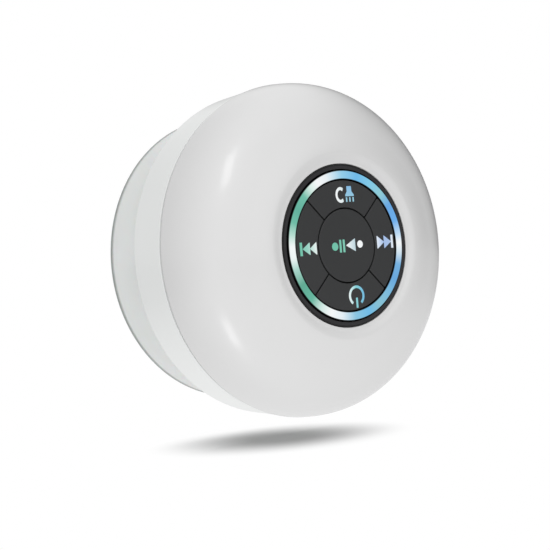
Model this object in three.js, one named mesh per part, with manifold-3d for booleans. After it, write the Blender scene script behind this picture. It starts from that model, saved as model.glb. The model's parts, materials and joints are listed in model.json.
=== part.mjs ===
// Shower speaker: a domed, splash-proof loudspeaker with a key panel in front
// and a screw-in suction cup behind. Millimetres.
// Frame: +Z up, the key panel faces -Y, the axis of the speaker lies along Y.
// Depths are written as t, the distance in front of the wall that the cup's rim rests on.
// Prefixes: R_ is a radius from the speaker's axis, T_ is a depth t, X_ and Z_ are places.
// Every profile is a list of [r, t] points. Angles are degrees from +X towards +Z.
import * as THREE from "three";
import { mergeVertices, toCreasedNormals } from "three/addons/utils/BufferGeometryUtils.js";
import Module from "manifold-3d";

const wasm = await Module();
wasm.setup();

// ---------------------------------------------------------------- shared dimensions
const R_SHELL = 43; // largest radius of the dome
const T_PANEL = 49.0; // bezel's front plane
const CREST_RISE = 0.4; // crest of the dome above the panel plane
const WALL_Y = (T_PANEL + CREST_RISE) / 2; // the bounding box is centred on the origin

const T_BACK = 17.8; // back plate, outer face
const T_FLOOR = 19.6; // back plate, inner face

const BOARD_THICK = 1.2;
const T_KEYBOARD = 41.0; // rear face of the key board
const T_KEYBOARD_FRONT = T_KEYBOARD + BOARD_THICK;
const T_MAIN_BOARD = 25.7; // rear face of the main board
const T_MAIN_BOARD_FRONT = T_MAIN_BOARD + BOARD_THICK;
const PART_GAP = 0.05; // between a board and the parts on it
const SCREW_GAP = 0.1; // between a board and its screw heads

const T_USB = 24.07; // axis of the charging socket, which faces +X
const T_HINGE = 20.4; // axis of the port flap's hinge
const FLAP_HALF = 6.6; // half the flap's width
const FLAP_LENGTH = 7.9;
const FLAP_GAP = 0.25; // between the flap and its recess

const FUSE = 0.2; // overlap that makes two joined solids fuse

const SEG_BIG = 40;
const SEG_MID = 24;
const SEG_SMALL = 10;
const TAU = Math.PI * 2;

const radians = (degrees) => (degrees * Math.PI) / 180;
const polar = (radius, degrees) => [
  radius * Math.cos(radians(degrees)),
  radius * Math.sin(radians(degrees)),
];

// screw places, [x, z]
const CASE_SCREWS = [45, 135, 225, 315].map((angle) => polar(33.5, angle));
const KEYBOARD_SCREWS = [90, 210, 330].map((angle) => polar(22.6, angle));
const MAIN_BOARD_SCREWS = [[29, 13], [29, -13]];

// ---------------------------------------------------------------- materials
// each mesh gets its own copy
const material = (options) => () => new THREE.MeshStandardMaterial(options);

const shellWhite = material({ color: 0xe4e4e6, roughness: 0.42 });
const housingWhite = material({ color: 0xdfe3e2, roughness: 0.22 });
const milkyRubber = material({ color: 0xd8dedc, roughness: 0.3 });
const charcoal = material({ color: 0x3b3a3c, roughness: 0.5 });
const keyRubber = material({ color: 0x3a3b3d, roughness: 0.6 });
const lightDiffuser = material({ color: 0x8fc8ee, roughness: 0.25 });
const silicone = material({ color: 0x2a2a2b, roughness: 0.7 });
const boardGreen = material({ color: 0x1f5b3a, roughness: 0.5 });
const chipBlack = material({ color: 0x17181a, roughness: 0.45 });
const steel = material({ color: 0xb4b7ba, roughness: 0.35, metalness: 1 });
const ferrite = material({ color: 0x35353a, roughness: 0.6, metalness: 0.2 });
const copper = material({ color: 0xb86b3a, roughness: 0.35, metalness: 1 });
const paper = material({ color: 0x26262a, roughness: 0.85 });
const foam = material({ color: 0x1f1f20, roughness: 0.95 });
const cellBlue = material({ color: 0x8c99a8, roughness: 0.4, metalness: 0.3 });
const flexAmber = material({ color: 0xa9752c, roughness: 0.45 });
const redWire = material({ color: 0xb3221f, roughness: 0.5 });
const blackWire = material({ color: 0x151515, roughness: 0.5 });
const hardPlastic = material({ color: 0xd9dcdb, roughness: 0.35 });

// ---------------------------------------------------------------- solids
// three.js geometry to a solid, turned right side out if it comes inverted
function manifoldOf(geometry) {
  const bare = geometry.clone();
  bare.deleteAttribute("normal");
  bare.deleteAttribute("uv");
  const merged = mergeVertices(bare, 1e-4);
  const index = merged.index.array;
  const corners = [];
  for (let i = 0; i < index.length; i += 3) {
    const [a, b, c] = [index[i], index[i + 1], index[i + 2]];
    if (a !== b && b !== c && a !== c) corners.push(a, b, c);
  }
  const make = () =>
    new wasm.Manifold(
      new wasm.Mesh({
        numProp: 3,
        vertProperties: merged.attributes.position.array,
        triVerts: new Uint32Array(corners),
      }),
    );
  const solid = make();
  if (solid.volume() >= 0) return solid;
  for (let i = 0; i < corners.length; i += 3) {
    [corners[i + 1], corners[i + 2]] = [corners[i + 2], corners[i + 1]];
  }
  return make();
}

function geometryOf(solid) {
  const { numVert, numProp, vertProperties, triVerts } = solid.getMesh();
  const positions = new Float32Array(numVert * 3);
  for (let i = 0; i < numVert; i++) {
    positions.set(vertProperties.subarray(i * numProp, i * numProp + 3), i * 3);
  }
  const geometry = new THREE.BufferGeometry();
  geometry.setAttribute("position", new THREE.BufferAttribute(positions, 3));
  geometry.setIndex(new THREE.BufferAttribute(new Uint32Array(triVerts), 1));
  return geometry;
}

const addAll = (solid, parts) => parts.reduce((sum, part) => sum.add(part), solid);
const cutAll = (solid, parts) => parts.reduce((rest, part) => rest.subtract(part), solid);

// solid of revolution about the speaker's axis
function revolve(profile, segments = SEG_BIG) {
  const points = profile.map(([r, t]) => new THREE.Vector2(r, -t));
  const startsOffAxis = profile[0][0] > 0;
  const endsOffAxis = profile[profile.length - 1][0] > 0;
  if (startsOffAxis || endsOffAxis) points.push(points[0].clone());
  return manifoldOf(new THREE.LatheGeometry(points, segments));
}

// cylinder parallel to Y, between two depths
function post([x, z], radius, tRear, tFront, segments = SEG_SMALL) {
  const cylinder = new THREE.CylinderGeometry(radius, radius, tFront - tRear, segments);
  return manifoldOf(cylinder.translate(x, -(tRear + tFront) / 2, z));
}

const posts = (places, radius, tRear, tFront) =>
  places.map((place) => post(place, radius, tRear, tFront));

// box from its ranges in x, depth and z
function block([x0, x1], [t0, t1], [z0, z1]) {
  const box = new THREE.BoxGeometry(x1 - x0, t1 - t0, z1 - z0);
  return manifoldOf(box.translate((x0 + x1) / 2, -(t0 + t1) / 2, (z0 + z1) / 2));
}

function roundedRect(width, height, radius) {
  const shape = new THREE.Shape();
  const right = width / 2;
  const top = height / 2;
  const arcX = right - radius;
  const arcY = top - radius;
  shape.moveTo(-arcX, -top);
  shape.lineTo(arcX, -top);
  shape.absarc(arcX, -arcY, radius, -Math.PI / 2, 0, false);
  shape.lineTo(right, arcY);
  shape.absarc(arcX, arcY, radius, 0, Math.PI / 2, false);
  shape.lineTo(-arcX, top);
  shape.absarc(-arcX, arcY, radius, Math.PI / 2, Math.PI, false);
  shape.lineTo(-right, -arcY);
  shape.absarc(-arcX, -arcY, radius, Math.PI, Math.PI * 1.5, false);
  return shape;
}

const extrude = (shape, depth, curveSegments) =>
  new THREE.ExtrudeGeometry(shape, { depth, bevelEnabled: false, curveSegments });

// shape in x and z, extruded forwards from t = 0
const extrudeForward = (shape, depth, curveSegments) =>
  extrude(shape, depth, curveSegments).rotateX(Math.PI / 2);

// six-sided wire through [x, t, z] points
function wire(points, steps) {
  const radius = 0.45;
  const path = new THREE.CatmullRomCurve3(points.map(([x, t, z]) => new THREE.Vector3(x, -t, z)));
  const section = new THREE.Shape();
  for (let i = 0; i < 6; i++) {
    const angle = (i * TAU) / 6;
    section[i ? "lineTo" : "moveTo"](radius * Math.cos(angle), radius * Math.sin(angle));
  }
  section.closePath();
  return manifoldOf(
    new THREE.ExtrudeGeometry(section, { steps, bevelEnabled: false, extrudePath: path }),
  );
}

// screw with its head to the rear of local y = 0 and its shank to the front
function screw({ headRadius, headHeight, shankRadius, length, crossRecess }) {
  const head = new THREE.CylinderGeometry(headRadius * 0.86, headRadius, headHeight, SEG_SMALL);
  head.translate(0, headHeight / 2, 0);
  const shank = new THREE.CylinderGeometry(shankRadius, shankRadius, length + FUSE, 8);
  shank.translate(0, (FUSE - length) / 2, 0);
  const solid = manifoldOf(head).add(manifoldOf(shank));
  if (!crossRecess) return solid;
  const bars = [0, Math.PI / 2].map((turn) => {
    const bar = new THREE.BoxGeometry(headRadius * 1.05, headHeight, headRadius * 0.28);
    return manifoldOf(bar.translate(0, headHeight * 1.05, 0).rotateY(turn));
  });
  return cutAll(solid, bars);
}

// ---------------------------------------------------------------- meshes
function addMesh(group, name, geometry, makeMaterial, x, t, z) {
  const mesh = new THREE.Mesh(geometry, makeMaterial());
  mesh.name = name;
  mesh.position.set(x, -t, z);
  group.add(mesh);
  return mesh;
}

const creased = (geometry) => toCreasedNormals(geometry, Math.PI / 6);

// solid modelled about its own origin, which is placed at x, t, z
const addPlaced = (group, name, solid, makeMaterial, x, t, z) =>
  addMesh(group, name, creased(geometryOf(solid)), makeMaterial, x, t, z);

// solid modelled in place; the mesh's origin goes to the centre of its bounding box
function addSolid(group, name, solid, makeMaterial) {
  const geometry = geometryOf(solid);
  geometry.computeBoundingBox();
  const { x, y, z } = geometry.boundingBox.getCenter(new THREE.Vector3());
  geometry.translate(-x, -y, -z);
  addMesh(group, name, creased(geometry), makeMaterial, x, -y, z);
}

// ---------------------------------------------------------------- assembly groups
const speaker = new THREE.Group();
const inside = new THREE.Group(); // local y is minus the depth t
inside.position.y = WALL_Y;
speaker.add(inside);
const caseGroup = new THREE.Group();
const panelGroup = new THREE.Group();
const electronicsGroup = new THREE.Group();
const driverGroup = new THREE.Group();
const cupGroup = new THREE.Group();
inside.add(caseGroup, panelGroup, electronicsGroup, driverGroup, cupGroup);

// ---------------------------------------------------------------- dome meridian
// superellipse from the panel to the widest section, blended up to the crest
const DOME_HEIGHT = 20.64;
const R_DOME_FLAT = 13.3; // the superellipse starts here
const DOME_POWER = 2.8;
const R_CREST = 23.2;
const R_BLEND = 31; // the rise to the crest starts here
const clamp01 = (value) => Math.min(1, Math.max(0, value));

function superellipseDrop(r) {
  const across = clamp01((r - R_DOME_FLAT) / (R_SHELL - R_DOME_FLAT));
  return DOME_HEIGHT - DOME_HEIGHT * Math.pow(1 - Math.pow(across, DOME_POWER), 1 / DOME_POWER);
}

// how far the dome's outer face lies behind the panel plane
function domeDrop(r) {
  const blend = clamp01((R_BLEND - r) / (R_BLEND - R_CREST));
  const rise = CREST_RISE + superellipseDrop(R_CREST);
  return superellipseDrop(r) - rise * blend * blend * (3 - 2 * blend);
}

const domePoint = (r) => [r, T_PANEL - domeDrop(r)];

// point at a distance inside the dome's outer face, square to it
function domeInset(r, distance) {
  const step = 0.05;
  const slope = (domeDrop(r + step) - domeDrop(r - step)) / (2 * step);
  const norm = Math.hypot(1, slope);
  return [r - (distance * slope) / norm, T_PANEL - domeDrop(r) - distance / norm];
}

// ---------------------------------------------------------------- front shell
const SHELL_WALL = 2.2;
const R_OPENING = 20.4;
const T_SEAM_FRONT = 31.15; // front shell ends here, short of its inner lip
const T_LIP = 29.3; // rear end of the lip
const T_CASE_BOSS = 28.3;

// blank half a wall inside the dome, which keeps the bosses from showing outside
function domeBlank() {
  return revolve(
    [
      [0, T_PANEL - 1.2], [R_OPENING, T_PANEL - 1.2],
      ...[28.5, 33, 36.8, 39.5].map((r) => domeInset(r, SHELL_WALL / 2)),
      [41.8, T_SEAM_FRONT], [41.8, T_CASE_BOSS], [0, T_CASE_BOSS],
    ],
    SEG_MID,
  );
}

function frontShell() {
  const shell = revolve([
    [18.9, 44.4], [18.9, 46.6], [R_OPENING, 46.6],
    // outer face, from the opening to the seam
    [R_OPENING, T_PANEL - 0.05], [21.6, T_PANEL + 0.05], [22.4, T_PANEL + 0.3],
    ...[R_CREST, 27, 31.5, 35.5, 38.5, 40.5, 41.9, 42.7].map(domePoint),
    [R_SHELL, 31.5], [42.72, T_SEAM_FRONT],
    // lip
    [40.75, T_SEAM_FRONT], [40.75, T_LIP], [39.65, T_LIP], [39.65, 34.0],
    // inner face
    ...[39.8, 36.5, 30.5].map((r) => domeInset(r, SHELL_WALL)),
    [26.0, 46.2], [25.2, 44.4],
  ]);
  const blank = domeBlank();
  const caseBosses = posts(CASE_SCREWS, 3.0, T_CASE_BOSS, 46).map((boss) => boss.intersect(blank));
  const boardBosses = posts(KEYBOARD_SCREWS, 2.1, T_KEYBOARD_FRONT + 0.15, 45);
  const caseHoles = posts(CASE_SCREWS, 1.45, 27, 35);
  const boardHoles = posts(KEYBOARD_SCREWS, 0.95, 41, 46.4);
  return cutAll(addAll(shell, [...caseBosses, ...boardBosses]), [...caseHoles, ...boardHoles]);
}
addSolid(caseGroup, "front_shell", frontShell(), shellWhite);

// ---------------------------------------------------------------- rear housing
const T_SEAM_REAR = 30.8; // rear housing's front edge
const R_BAND_FRONT = 42.7; // outer radius at the seam
const R_BAND_REAR = 42.4; // outer radius near the back plate
const R_CAVITY = 39.4;
const T_SEAL_SEAT = 28.95;
const R_SOCKET = 6.8; // socket for the cup's stud, outer radius
const R_SOCKET_BORE = 4.2;
const R_SOCKET_CAP = 6.5; // closed end of the socket, inside the case
const T_SOCKET_END = 13.4;
const T_MAIN_BOSS = 25.6; // front of what carries the main board
const SLOT_COUNT = 12;

const HOUSING_PROFILE = [
  [0, 23.0], [R_SOCKET_CAP, 23.0], [R_SOCKET_CAP, T_FLOOR],
  // cavity and seal seat
  [R_CAVITY, T_FLOOR], [R_CAVITY, T_SEAL_SEAT], [41.0, T_SEAL_SEAT], [41.0, T_SEAM_REAR],
  // outer band
  [R_BAND_FRONT - 0.15, T_SEAM_REAR], [R_BAND_FRONT, T_SEAM_REAR - 0.2],
  [R_BAND_REAR, T_BACK + 1.0], [R_BAND_REAR - 0.3, T_BACK + 0.3], [R_BAND_REAR - 1.0, T_BACK],
  // socket
  [R_SOCKET, T_BACK], [R_SOCKET, T_SOCKET_END + 0.3], [R_SOCKET - 0.3, T_SOCKET_END],
  [R_SOCKET_BORE, T_SOCKET_END], [R_SOCKET_BORE, 21.5], [0, 21.5],
];

// low wall around the driver's edge
function driverRim() {
  const tRear = T_FLOOR - FUSE;
  return revolve([[20.8, tRear], [20.8, 22.0], [21.8, 22.0], [21.8, tRear]], SEG_MID);
}

function microphonePort() {
  const hole = new THREE.CylinderGeometry(0.55, 0.55, 8, 10);
  return manifoldOf(hole.rotateZ(Math.PI / 2).translate(41, -23.3, 0).rotateY(-radians(18.5)));
}

// radial slots between the socket and the driver's edge
function soundSlots() {
  return Array.from({ length: SLOT_COUNT }, (_, i) => {
    const slot = extrudeForward(roundedRect(7.4, 2.2, 1.05), 6, 1);
    return manifoldOf(slot.translate(13.2, -16, 0).rotateY((i * TAU) / SLOT_COUNT));
  });
}

function rearHousing() {
  const tRear = T_FLOOR - FUSE;
  const recessHalf = FLAP_HALF + FLAP_GAP;
  const tRecessFront = T_HINGE + FLAP_LENGTH + FLAP_GAP;
  const housing = addAll(revolve(HOUSING_PROFILE), [
    driverRim(),
    ...posts(CASE_SCREWS, 3.6, tRear, 28.0),
    ...posts(MAIN_BOARD_SCREWS, 2.2, tRear, T_MAIN_BOSS),
    block([36.6, 41.2], [tRear, T_MAIN_BOSS], [-8.2, 8.2]), // around the charging port
  ]);
  // each case screw has a clearance hole and a counterbore
  const screwHoles = CASE_SCREWS.flatMap((place) => [
    post(place, 1.7, 17, 29),
    post(place, 2.95, 17, 20.3),
  ]);
  return cutAll(housing, [
    ...screwHoles,
    ...posts(MAIN_BOARD_SCREWS, 0.85, 20.6, 26),
    // recess for the port flap, and the opening on its inner side
    block([40.4, 44], [18.7, tRecessFront], [-recessHalf, recessHalf]),
    block([36, 41], [22.2, 26.1], [-4.8, 4.8]),
    microphonePort(),
    ...soundSlots(),
  ]);
}
addSolid(caseGroup, "rear_housing", rearHousing(), housingWhite);

const SEAL_PROFILE = [[39.7, 28.97], [39.7, 29.27], [40.7, 29.27], [40.7, 28.97]];
addSolid(caseGroup, "case_seal", revolve(SEAL_PROFILE), silicone);

// case screws: heads in the counterbores of the back plate
const caseScrew = screw({
  headRadius: 2.55,
  headHeight: 1.7,
  shankRadius: 1.2,
  length: 14,
  crossRecess: true,
});
CASE_SCREWS.forEach(([x, z], i) => {
  addPlaced(caseGroup, `case_screw_${i + 1}`, caseScrew, steel, x, 20.2, z);
});

// ---------------------------------------------------------------- port flap, on the +X side
function portFlap() {
  const width = 2 * FLAP_HALF;
  const tFront = T_HINGE + FLAP_LENGTH;
  const plate = block([40.75, 43.2], [T_HINGE, tFront], [-FLAP_HALF, FLAP_HALF]);
  // the outer face is rounded to this radius
  const rFlap = 42.35;
  const round = revolve([[0, 18], [rFlap, 18], [rFlap, 30], [0, 30]], 72);
  const barrel = new THREE.CylinderGeometry(0.75, 0.75, width, 14);
  barrel.rotateX(Math.PI / 2).translate(41.3, -T_HINGE, 0);
  // plug that reaches inwards, in line with the charging socket
  const plug = extrude(roundedRect(8.2, 2.7, 1.2), 1.3, 3);
  plug.rotateY(Math.PI / 2).translate(39.75, -T_USB, 0);
  return addAll(plate.intersect(round), [manifoldOf(barrel), manifoldOf(plug)]);
}

// ---------------------------------------------------------------- panel rings
const R_BEZEL = 20.2;
const R_BEZEL_IN = 18.85;
const T_BEZEL_REAR = 46.7;
const BEZEL_CHAMFER = 0.3;
const BEZEL_PROFILE = [
  [R_BEZEL_IN, T_BEZEL_REAR], [R_BEZEL_IN, T_PANEL],
  [R_BEZEL - BEZEL_CHAMFER, T_PANEL], [R_BEZEL, T_PANEL - BEZEL_CHAMFER],
  [R_BEZEL, T_BEZEL_REAR],
];
addSolid(panelGroup, "bezel_ring", revolve(BEZEL_PROFILE), charcoal);

const R_LIGHT_OUT = 18.55;
const R_LIGHT_IN = 16.45;
const LIGHT_PROFILE = [
  [14.8, 43.3], [14.8, 44.2], [R_LIGHT_IN, 44.2],
  [R_LIGHT_IN, 49.2], [R_LIGHT_IN + 0.2, 49.35],
  [R_LIGHT_OUT - 0.2, 49.35], [R_LIGHT_OUT, 49.2],
  [R_LIGHT_OUT, 44.2], [20.0, 44.2], [20.0, 43.3],
];
addSolid(panelGroup, "light_ring", revolve(LIGHT_PROFILE), lightDiffuser);

// ---------------------------------------------------------------- keypad and key board
const CALL_ANGLE = 90; // the call key is on top
const RING_KEYS = { next: 0, call: CALL_ANGLE, prev: 180, power: 270 }; // name: angle
const SWITCH_PLACES = { play: [0, 0] };
for (const [name, angle] of Object.entries(RING_KEYS)) SWITCH_PLACES[name] = polar(12.2, angle);

const MAT_PROFILE = [
  [0, 45.2], [14.95, 45.2], [14.95, 44.3], [16.2, 44.3], [16.2, 46.2], [0, 46.2],
];
const matPegs = posts(Object.values(SWITCH_PLACES), 1.3, 44.65, 45.4);
addSolid(panelGroup, "keypad_mat", addAll(revolve(MAT_PROFILE, SEG_MID), matPegs), silicone);

const keyBoardDisc = post([0, 0], 25, T_KEYBOARD, T_KEYBOARD_FRONT, SEG_MID);
const keyBoard = cutAll(keyBoardDisc, posts(KEYBOARD_SCREWS, 1.1, 40, 44));
addSolid(panelGroup, "key_board", keyBoard, boardGreen);

// switch standing on local y = 0, with its button to the front
function tactSwitch() {
  const base = new THREE.BoxGeometry(3.6, 1.4, 3.6).translate(0, -0.7, 0);
  const button = new THREE.CylinderGeometry(0.9, 0.9, 0.9, 12).translate(0, -1.75, 0);
  return manifoldOf(base).add(manifoldOf(button));
}
const switchSolid = tactSwitch();
const T_KEYBOARD_PARTS = T_KEYBOARD_FRONT + PART_GAP;
for (const [name, [x, z]] of Object.entries(SWITCH_PLACES)) {
  addPlaced(panelGroup, `switch_${name}`, switchSolid, steel, x, T_KEYBOARD_PARTS, z);
}

const LED_COUNT = 6;
const LED_HEIGHT = 0.9;
for (let i = 0; i < LED_COUNT; i++) {
  const angle = 30 + (i * 360) / LED_COUNT;
  const [x, z] = polar(17.5, angle);
  const box = new THREE.BoxGeometry(2.8, LED_HEIGHT, 3.2);
  const depth = T_KEYBOARD_PARTS + LED_HEIGHT / 2;
  const led = addMesh(panelGroup, `led_${i + 1}`, box, hardPlastic, x, depth, z);
  led.rotation.y = -radians(angle);
}

const boardScrew = screw({
  headRadius: 1.85,
  headHeight: 1.05,
  shankRadius: 0.75,
  length: 4.8,
  crossRecess: false,
});
KEYBOARD_SCREWS.forEach(([x, z], i) => {
  const depth = T_KEYBOARD - SCREW_GAP;
  addPlaced(panelGroup, `board_screw_${i + 1}`, boardScrew, steel, x, depth, z);
});

// ---------------------------------------------------------------- keys
const T_KEY_BASE = 46.9;
const T_KEY_TOP = 49.2;
const R_KEY_OUT = 16.05;
const R_KEY_IN = 9.4;
const R_KEY_CENTRE = 9.05;
const KEY_GAP = 0.4; // between neighbouring ring keys
const KEY_BEVEL = 0.18;

// ring sector around +Z, split from its neighbours on the diagonals
function sectorKey() {
  const start = (radius) => Math.PI / 4 + Math.asin(KEY_GAP / 2 / radius);
  const end = (radius) => Math.PI - start(radius);
  const shape = new THREE.Shape();
  shape.absarc(0, 0, R_KEY_OUT, start(R_KEY_OUT), end(R_KEY_OUT), false);
  shape.absarc(0, 0, R_KEY_IN, end(R_KEY_IN), start(R_KEY_IN), true);
  shape.closePath();
  const geometry = new THREE.ExtrudeGeometry(shape, {
    depth: T_KEY_TOP - T_KEY_BASE - 2 * KEY_BEVEL,
    bevelEnabled: true,
    bevelThickness: KEY_BEVEL,
    bevelSize: KEY_BEVEL,
    bevelOffset: -KEY_BEVEL,
    bevelSegments: 1,
    curveSegments: 6,
  });
  return manifoldOf(geometry.translate(0, 0, KEY_BEVEL).rotateX(Math.PI / 2));
}
const sectorSolid = sectorKey();
for (const [name, angle] of Object.entries(RING_KEYS)) {
  const key = addPlaced(panelGroup, `${name}_key`, sectorSolid, keyRubber, 0, T_KEY_BASE, 0);
  key.rotation.y = radians((360 + CALL_ANGLE - angle) % 360);
}

const PLAY_PROFILE = [
  [0, T_KEY_BASE], [R_KEY_CENTRE, T_KEY_BASE],
  [R_KEY_CENTRE, T_KEY_TOP - KEY_BEVEL], [R_KEY_CENTRE - 0.2, T_KEY_TOP],
  [0, T_KEY_TOP + 0.05],
];
addSolid(panelGroup, "play_key", revolve(PLAY_PROFILE, 32), keyRubber);

// ---------------------------------------------------------------- main board and its parts
// board with a straight edge towards the axis and a round one that follows the case
function mainBoard() {
  const radius = 38.6;
  const xStraight = 22.5;
  const zHalf = 17;
  const cornerAngle = Math.asin(zHalf / radius);
  const shape = new THREE.Shape();
  shape.moveTo(xStraight, -zHalf);
  shape.lineTo(Math.sqrt(radius * radius - zHalf * zHalf), -zHalf);
  shape.absarc(0, 0, radius, -cornerAngle, cornerAngle, false);
  shape.lineTo(xStraight, zHalf);
  shape.closePath();
  const board = extrudeForward(shape, BOARD_THICK, 8).translate(0, -T_MAIN_BOARD, 0);
  return cutAll(manifoldOf(board), posts(MAIN_BOARD_SCREWS, 1.0, 25, 28));
}
addSolid(electronicsGroup, "main_board", mainBoard(), boardGreen);

function addChip(name, x, z, sizeX, sizeZ, height) {
  const depth = T_MAIN_BOARD_FRONT + PART_GAP + height / 2;
  const box = new THREE.BoxGeometry(sizeX, height, sizeZ);
  addMesh(electronicsGroup, name, box, chipBlack, x, depth, z);
}
addChip("radio_chip", 33.5, 0, 6, 6, 0.9);
addChip("amplifier_chip", 33.5, -9, 5, 4.4, 1.2);

// local Z is the plug's direction, local X its width
function usbSocket() {
  const length = 7.4;
  const shell = extrude(roundedRect(9.0, 3.15, 1.3), length, 3);
  const hollow = extrude(roundedRect(8.3, 2.45, 1.0), length, 3).translate(0, 0, 1.0);
  const tongue = new THREE.BoxGeometry(6.6, 0.6, 6.0).translate(0, 0, 3.9);
  return manifoldOf(shell).subtract(manifoldOf(hollow)).add(manifoldOf(tongue));
}
const socket = addPlaced(electronicsGroup, "usb_socket", usbSocket(), steel, 31.9, T_USB, 0);
socket.rotation.y = Math.PI / 2;

addSolid(electronicsGroup, "microphone", post([34.6, 12.6], 1.9, 24.4, 25.62), steel);

const battery = extrudeForward(roundedRect(13.2, 27.6, 2.2), 7.6, 3).translate(-29.1, -20.6, 0);
addSolid(electronicsGroup, "battery_cell", manifoldOf(battery), cellBlue);
const batteryPad = block([-34.4, -23.8], [19.7, 20.4], [-12, 12]);
addSolid(electronicsGroup, "battery_pad", batteryPad, foam);

MAIN_BOARD_SCREWS.forEach(([x, z], i) => {
  const name = `board_screw_${i + 4}`;
  const depth = T_MAIN_BOARD_FRONT + SCREW_GAP;
  const mesh = addPlaced(electronicsGroup, name, boardScrew, steel, x, depth, z);
  mesh.rotation.x = Math.PI; // head to the front
});

// ---------------------------------------------------------------- cables
// flat flex from the key board down to the main board; centre line as [x, t]
const RIBBON_PATH = [
  [16.5, 40.5], [21.5, 40.5], [24.4, 39.5], [26.1, 36.8], [26.8, 33], [27.0, 29.6], [27.1, 27.2],
];
const RIBBON_WIDTH = 9;
const RIBBON_HALF_THICK = 0.12;

function ribbonCable() {
  const side = (offset) =>
    RIBBON_PATH.map(([x, t], i) => {
      const [xBefore, tBefore] = RIBBON_PATH[Math.max(0, i - 1)];
      const [xAfter, tAfter] = RIBBON_PATH[Math.min(RIBBON_PATH.length - 1, i + 1)];
      const [dx, dt] = [xAfter - xBefore, tAfter - tBefore];
      const length = Math.hypot(dx, dt);
      return new THREE.Vector2(x - (dt / length) * offset, -(t + (dx / length) * offset));
    });
  const outline = [...side(RIBBON_HALF_THICK), ...side(-RIBBON_HALF_THICK).reverse()];
  const ribbon = extrude(new THREE.Shape(outline), RIBBON_WIDTH);
  return manifoldOf(ribbon.translate(0, 0, -RIBBON_WIDTH / 2));
}
addSolid(electronicsGroup, "ribbon_cable", ribbonCable(), flexAmber);

// name, material, steps along the wire, [x, t, z] points
const LEADS = [
  ["battery_lead_red", redWire, 12, [
    [-24.5, 29.2, -7.5], [-22, 34, -7.5], [-16, 39.0, -8], [0, 39.0, -9],
    [16, 39.0, -10], [22.2, 34, -10.3], [24.6, 27.6, -10.3],
  ]],
  ["battery_lead_black", blackWire, 12, [
    [-24.5, 29.2, -9.5], [-22, 34, -9.5], [-16, 39.0, -9.6], [0, 39.0, -10.8],
    [16, 39.0, -12], [22.2, 34, -12.3], [24.6, 27.6, -12.3],
  ]],
  ["speaker_lead_red", redWire, 6, [
    [16.6, 25.2, 9], [17.8, 28.4, 9], [21, 30, 9], [24.2, 27.6, 9],
  ]],
  ["speaker_lead_black", blackWire, 6, [
    [16.0, 25.2, 11], [17.4, 28.4, 11], [21, 30, 11], [24.2, 27.6, 11],
  ]],
];
for (const [name, makeMaterial, steps, points] of LEADS) {
  addSolid(electronicsGroup, name, wire(points, steps), makeMaterial);
}

// ---------------------------------------------------------------- driver, firing out of the back
const BASKET_PROFILE = [
  [17.7, 20.8], [17.7, 21.6], [19.0, 21.7], [14.4, 29.0], [7.8, 29.0],
  [7.8, 29.8], [14.9, 29.8], [19.9, 21.9], [20.5, 21.6], [20.5, 20.8],
];
const WINDOW_COUNT = 4;

function driverBasket() {
  const windows = Array.from({ length: WINDOW_COUNT }, (_, i) => {
    const box = new THREE.BoxGeometry(8, 5.0, 13).translate(18.5, -25.4, 0);
    return manifoldOf(box.rotateY(((i + 0.5) * TAU) / WINDOW_COUNT));
  });
  return cutAll(revolve(BASKET_PROFILE, SEG_MID), windows);
}
addSolid(driverGroup, "driver_basket", driverBasket(), steel);

// plain revolved parts: name, material, profile
const DRIVER_PARTS = [
  ["driver_top_plate", steel, [[7.6, 29.9], [7.6, 32.0], [13.5, 32.0], [13.5, 29.9]]],
  ["driver_magnet", ferrite, [[8.6, 32.1], [8.6, 35.9], [15, 35.9], [15, 32.1]]],
  ["driver_yoke", steel, [
    [0, 30.3], [5.9, 30.3], [5.9, 36.0], [13.5, 36.0], [13.5, 38.1], [0, 38.1],
  ]],
  ["driver_gasket", foam, [[17.8, 20.0], [17.8, 20.7], [20.5, 20.7], [20.5, 20.0]]],
  ["acoustic_mesh", paper, [[6.8, 19.7], [6.8, 19.9], [20.3, 19.9], [20.3, 19.7]]],
  ["surround", silicone, [
    [15.9, 22.4], [16.2, 21.5], [17.0, 21.3], [17.5, 22.3], [18.1, 22.3],
    [18.1, 22.6], [17.3, 22.6], [16.8, 21.75], [16.4, 21.9], [16.2, 22.6],
  ]],
  ["spider", copper, [
    [7.45, 28.2], [7.45, 28.5], [9.6, 28.5], [11.0, 28.2],
    [14.0, 28.5], [14.0, 28.2], [11.0, 27.9], [9.6, 28.2],
  ]],
  ["voice_coil", copper, [[6.3, 27.15], [6.3, 33.2], [7.05, 33.2], [7.05, 27.15]]],
  ["cone", paper, [
    [15.4, 22.2], [15.4, 22.6], [7.1, 27.0], [6.2, 27.0], [6.2, 26.7], [6.95, 26.6], [14.9, 22.2],
  ]],
  ["dust_cap", paper, [
    [0, 24.9], [2.6, 25.15], [4.6, 25.9], [5.9, 26.9],
    [5.4, 27.0], [4.3, 26.3], [2.4, 25.6], [0, 25.35],
  ]],
];
for (const [name, makeMaterial, profile] of DRIVER_PARTS) {
  addSolid(driverGroup, name, revolve(profile, SEG_MID), makeMaterial);
}

addSolid(caseGroup, "port_flap", portFlap(), milkyRubber);

// ---------------------------------------------------------------- suction cup
const R_CUP = 38.5;
const CUP_PROFILE = [
  // hollow side, towards the wall
  [0, 9.8], [15, 9.2], [25, 7.4], [31, 5.0], [35.2, 1.9],
  // rim
  [36.7, 0], [38.3, 0], [R_CUP, 0.25], [R_CUP, 0.8],
  // front side, with a seat for the stud's flange
  [37.3, 3.0], [34, 6.4], [28, 9.8], [20, 11.8], [12, 12.5],
  [8.3, 12.5], [8.3, 10.85], [0, 10.85],
];
addSolid(cupGroup, "suction_cup", revolve(CUP_PROFILE), milkyRubber);

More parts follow.
